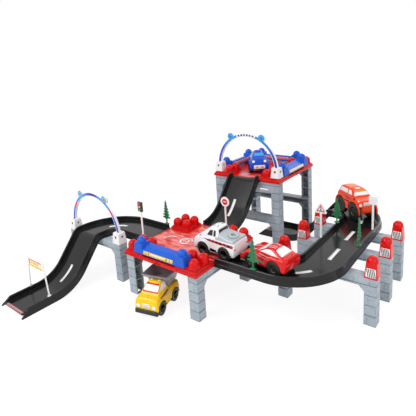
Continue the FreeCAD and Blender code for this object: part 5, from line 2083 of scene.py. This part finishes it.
@dataclass
class Studio:
    """The camera, the lamps, the world and the pale floor.

    The camera's place and axes were fitted to the photograph, in the layout's own millimetres.
    """

    place: Point2 = (717.35, -549.74)
    height: float = 524.64
    forward: Vector = field(default_factory=lambda: Vector((-0.6160941, 0.76174598, -0.20042733)))
    right: Vector = field(default_factory=lambda: Vector((0.78396741, 0.61766401, -0.06233991)))
    focal_pixels: float = 391.27
    image_pixels: float = 416.0
    axis_pixels: Point2 = (206.0, 150.0)
    sensor: float = 36.0
    world_light: float = 0.62
    floor_half: float = 6.0
    floor_share: float = 0.8
    floor_glow: float = 1.1

    def camera(self) -> None:
        """Create the camera and make it the scene's own."""
        data = bpy.data.cameras.new("camera")
        data.sensor_width = self.sensor
        data.lens = self.focal_pixels * self.sensor / self.image_pixels
        middle = self.image_pixels / 2
        data.shift_x = (middle - self.axis_pixels[0]) / self.image_pixels
        data.shift_y = (self.axis_pixels[1] - middle) / self.image_pixels
        data.clip_end = 50.0
        camera = bpy.data.objects.new("camera", data)
        back = -self.forward.normalized()
        right = self.right.normalized()
        up = back.cross(right)
        turn = Matrix((right, up, back)).transposed().to_4x4()
        where = layout_place(*self.place, self.height).origin
        camera.matrix_world = Matrix.Translation(where) @ turn
        bpy.context.scene.collection.objects.link(camera)
        bpy.context.scene.camera = camera

    def lamp(self, name: str, place: Sequence[float], size: float, watts: float) -> None:
        """Add one soft square lamp that points at the middle of the set.

        Args:
            name: The lamp's name.
            place: Where it hangs, in metres.
            size: The side of its square, in metres.
            watts: Its power.
        """
        data = bpy.data.lights.new(name, "AREA")
        data.size = size
        data.energy = watts
        lamp = bpy.data.objects.new(name, data)
        lamp.location = place
        aim = Vector((0.0, 0.0, 0.1)) - Vector(place)
        lamp.rotation_euler = aim.to_track_quat("-Z", "Y").to_euler()
        bpy.context.scene.collection.objects.link(lamp)

    def seen(self, tree: Tree) -> Socket:
        """A mask of the rays that show a background: the camera's, glossy and transmitted ones."""
        path = tree.nodes.new("ShaderNodeLightPath")
        first = maths(tree, "MAXIMUM", path.outputs["Is Camera Ray"],
                      path.outputs["Is Glossy Ray"])
        return maths(tree, "MAXIMUM", first, path.outputs["Is Transmission Ray"])

    def world(self) -> None:
        """Give the world a plain soft light and a white backdrop."""
        world = bpy.data.worlds.new("studio")
        world.use_nodes = True
        tree = world.node_tree
        light = tree.nodes["Background"]
        light.inputs["Color"].default_value = (1.0, 1.0, 1.0, 1.0)
        light.inputs["Strength"].default_value = self.world_light
        white = made(tree, "ShaderNodeBackground", Color=(1.0, 1.0, 1.0, 1.0))
        mix = tree.nodes.new("ShaderNodeMixShader")
        link(tree, self.seen(tree), mix.inputs[0])
        link(tree, light.outputs[0], mix.inputs[1])
        link(tree, white.outputs[0], mix.inputs[2])
        link(tree, mix.outputs[0], tree.nodes["World Output"].inputs["Surface"])
        bpy.context.scene.world = world

    def floor(self) -> None:
        """Lay the pale floor that the set stands on; it looks white and keeps the shadow."""
        mesh = bpy.data.meshes.new("floor")
        half = self.floor_half
        corners = [(-half, -half, 0), (half, -half, 0), (half, half, 0), (-half, half, 0)]
        mesh.from_pydata(corners, [], [(0, 1, 2, 3)])
        floor = bpy.data.objects.new("floor", mesh)
        bpy.context.scene.collection.objects.link(floor)
        material = bpy.data.materials.new("floor_white")
        material.use_nodes = True
        tree = material.node_tree
        shader = tree.nodes["Principled BSDF"]
        shader.inputs["Base Color"].default_value = (0.9, 0.9, 0.9, 1.0)
        shader.inputs["Roughness"].default_value = 0.9
        glow = made(tree, "ShaderNodeEmission", Strength=self.floor_glow)
        mix = tree.nodes.new("ShaderNodeMixShader")
        link(tree, maths(tree, "MULTIPLY", self.seen(tree), self.floor_share), mix.inputs[0])
        link(tree, shader.outputs[0], mix.inputs[1])
        link(tree, glow.outputs[0], mix.inputs[2])
        link(tree, mix.outputs[0], tree.nodes["Material Output"].inputs["Surface"])
        mesh.materials.append(material)

    def build(self) -> None:
        """Set up the whole studio."""
        bpy.context.scene.view_settings.view_transform = "Standard"
        self.camera()
        self.world()
        self.floor()
        self.lamp("key", (-0.9, -1.6, 1.9), 1.2, 30.0)
        self.lamp("fill", (1.9, -0.7, 1.3), 1.4, 12.0)
        self.lamp("back", (0.4, 1.8, 1.7), 1.4, 10.0)
        LOG.info("studio ready")


LEFT_STOPS = ((0.0, srgb(44, 26, 130)), (9.0, srgb(52, 36, 150)), (15.0, srgb(40, 130, 226)),
              (30.0, srgb(40, 156, 238)), (45.0, srgb(30, 140, 232)), (50.0, srgb(226, 34, 60)),
              (56.0, srgb(226, 34, 60)), (60.0, srgb(34, 96, 214)), (85.0, srgb(34, 44, 170)))
TOWER_STOPS = ((0.0, srgb(54, 150, 234)), (18.0, srgb(40, 150, 236)), (40.0, srgb(30, 132, 226)),
               (60.0, srgb(30, 84, 206)), (85.0, srgb(34, 40, 160)))


def main() -> None:
    """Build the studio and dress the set."""
    logging.basicConfig(level=logging.INFO)
    Studio().build()
    dress_nodes()
    left = Arch(stops=LEFT_STOPS)
    tower = Arch("arch_tower", "arch_blocks_tower", stops=TOWER_STOPS, mark=SKY_INK)
    pieces = (left, tower, ArchPanel(tower), RoadMarks(), DeckPrint(), CapBars(), Railings(),
              Signs(), StoneGates(), Trees(), Pickup(), Racer(), Offroader(), Coupe(), Dumper())
    for piece in pieces:
        piece.build()
        LOG.info("%s done", type(piece).__name__)


if __name__ == "__main__":
    main()
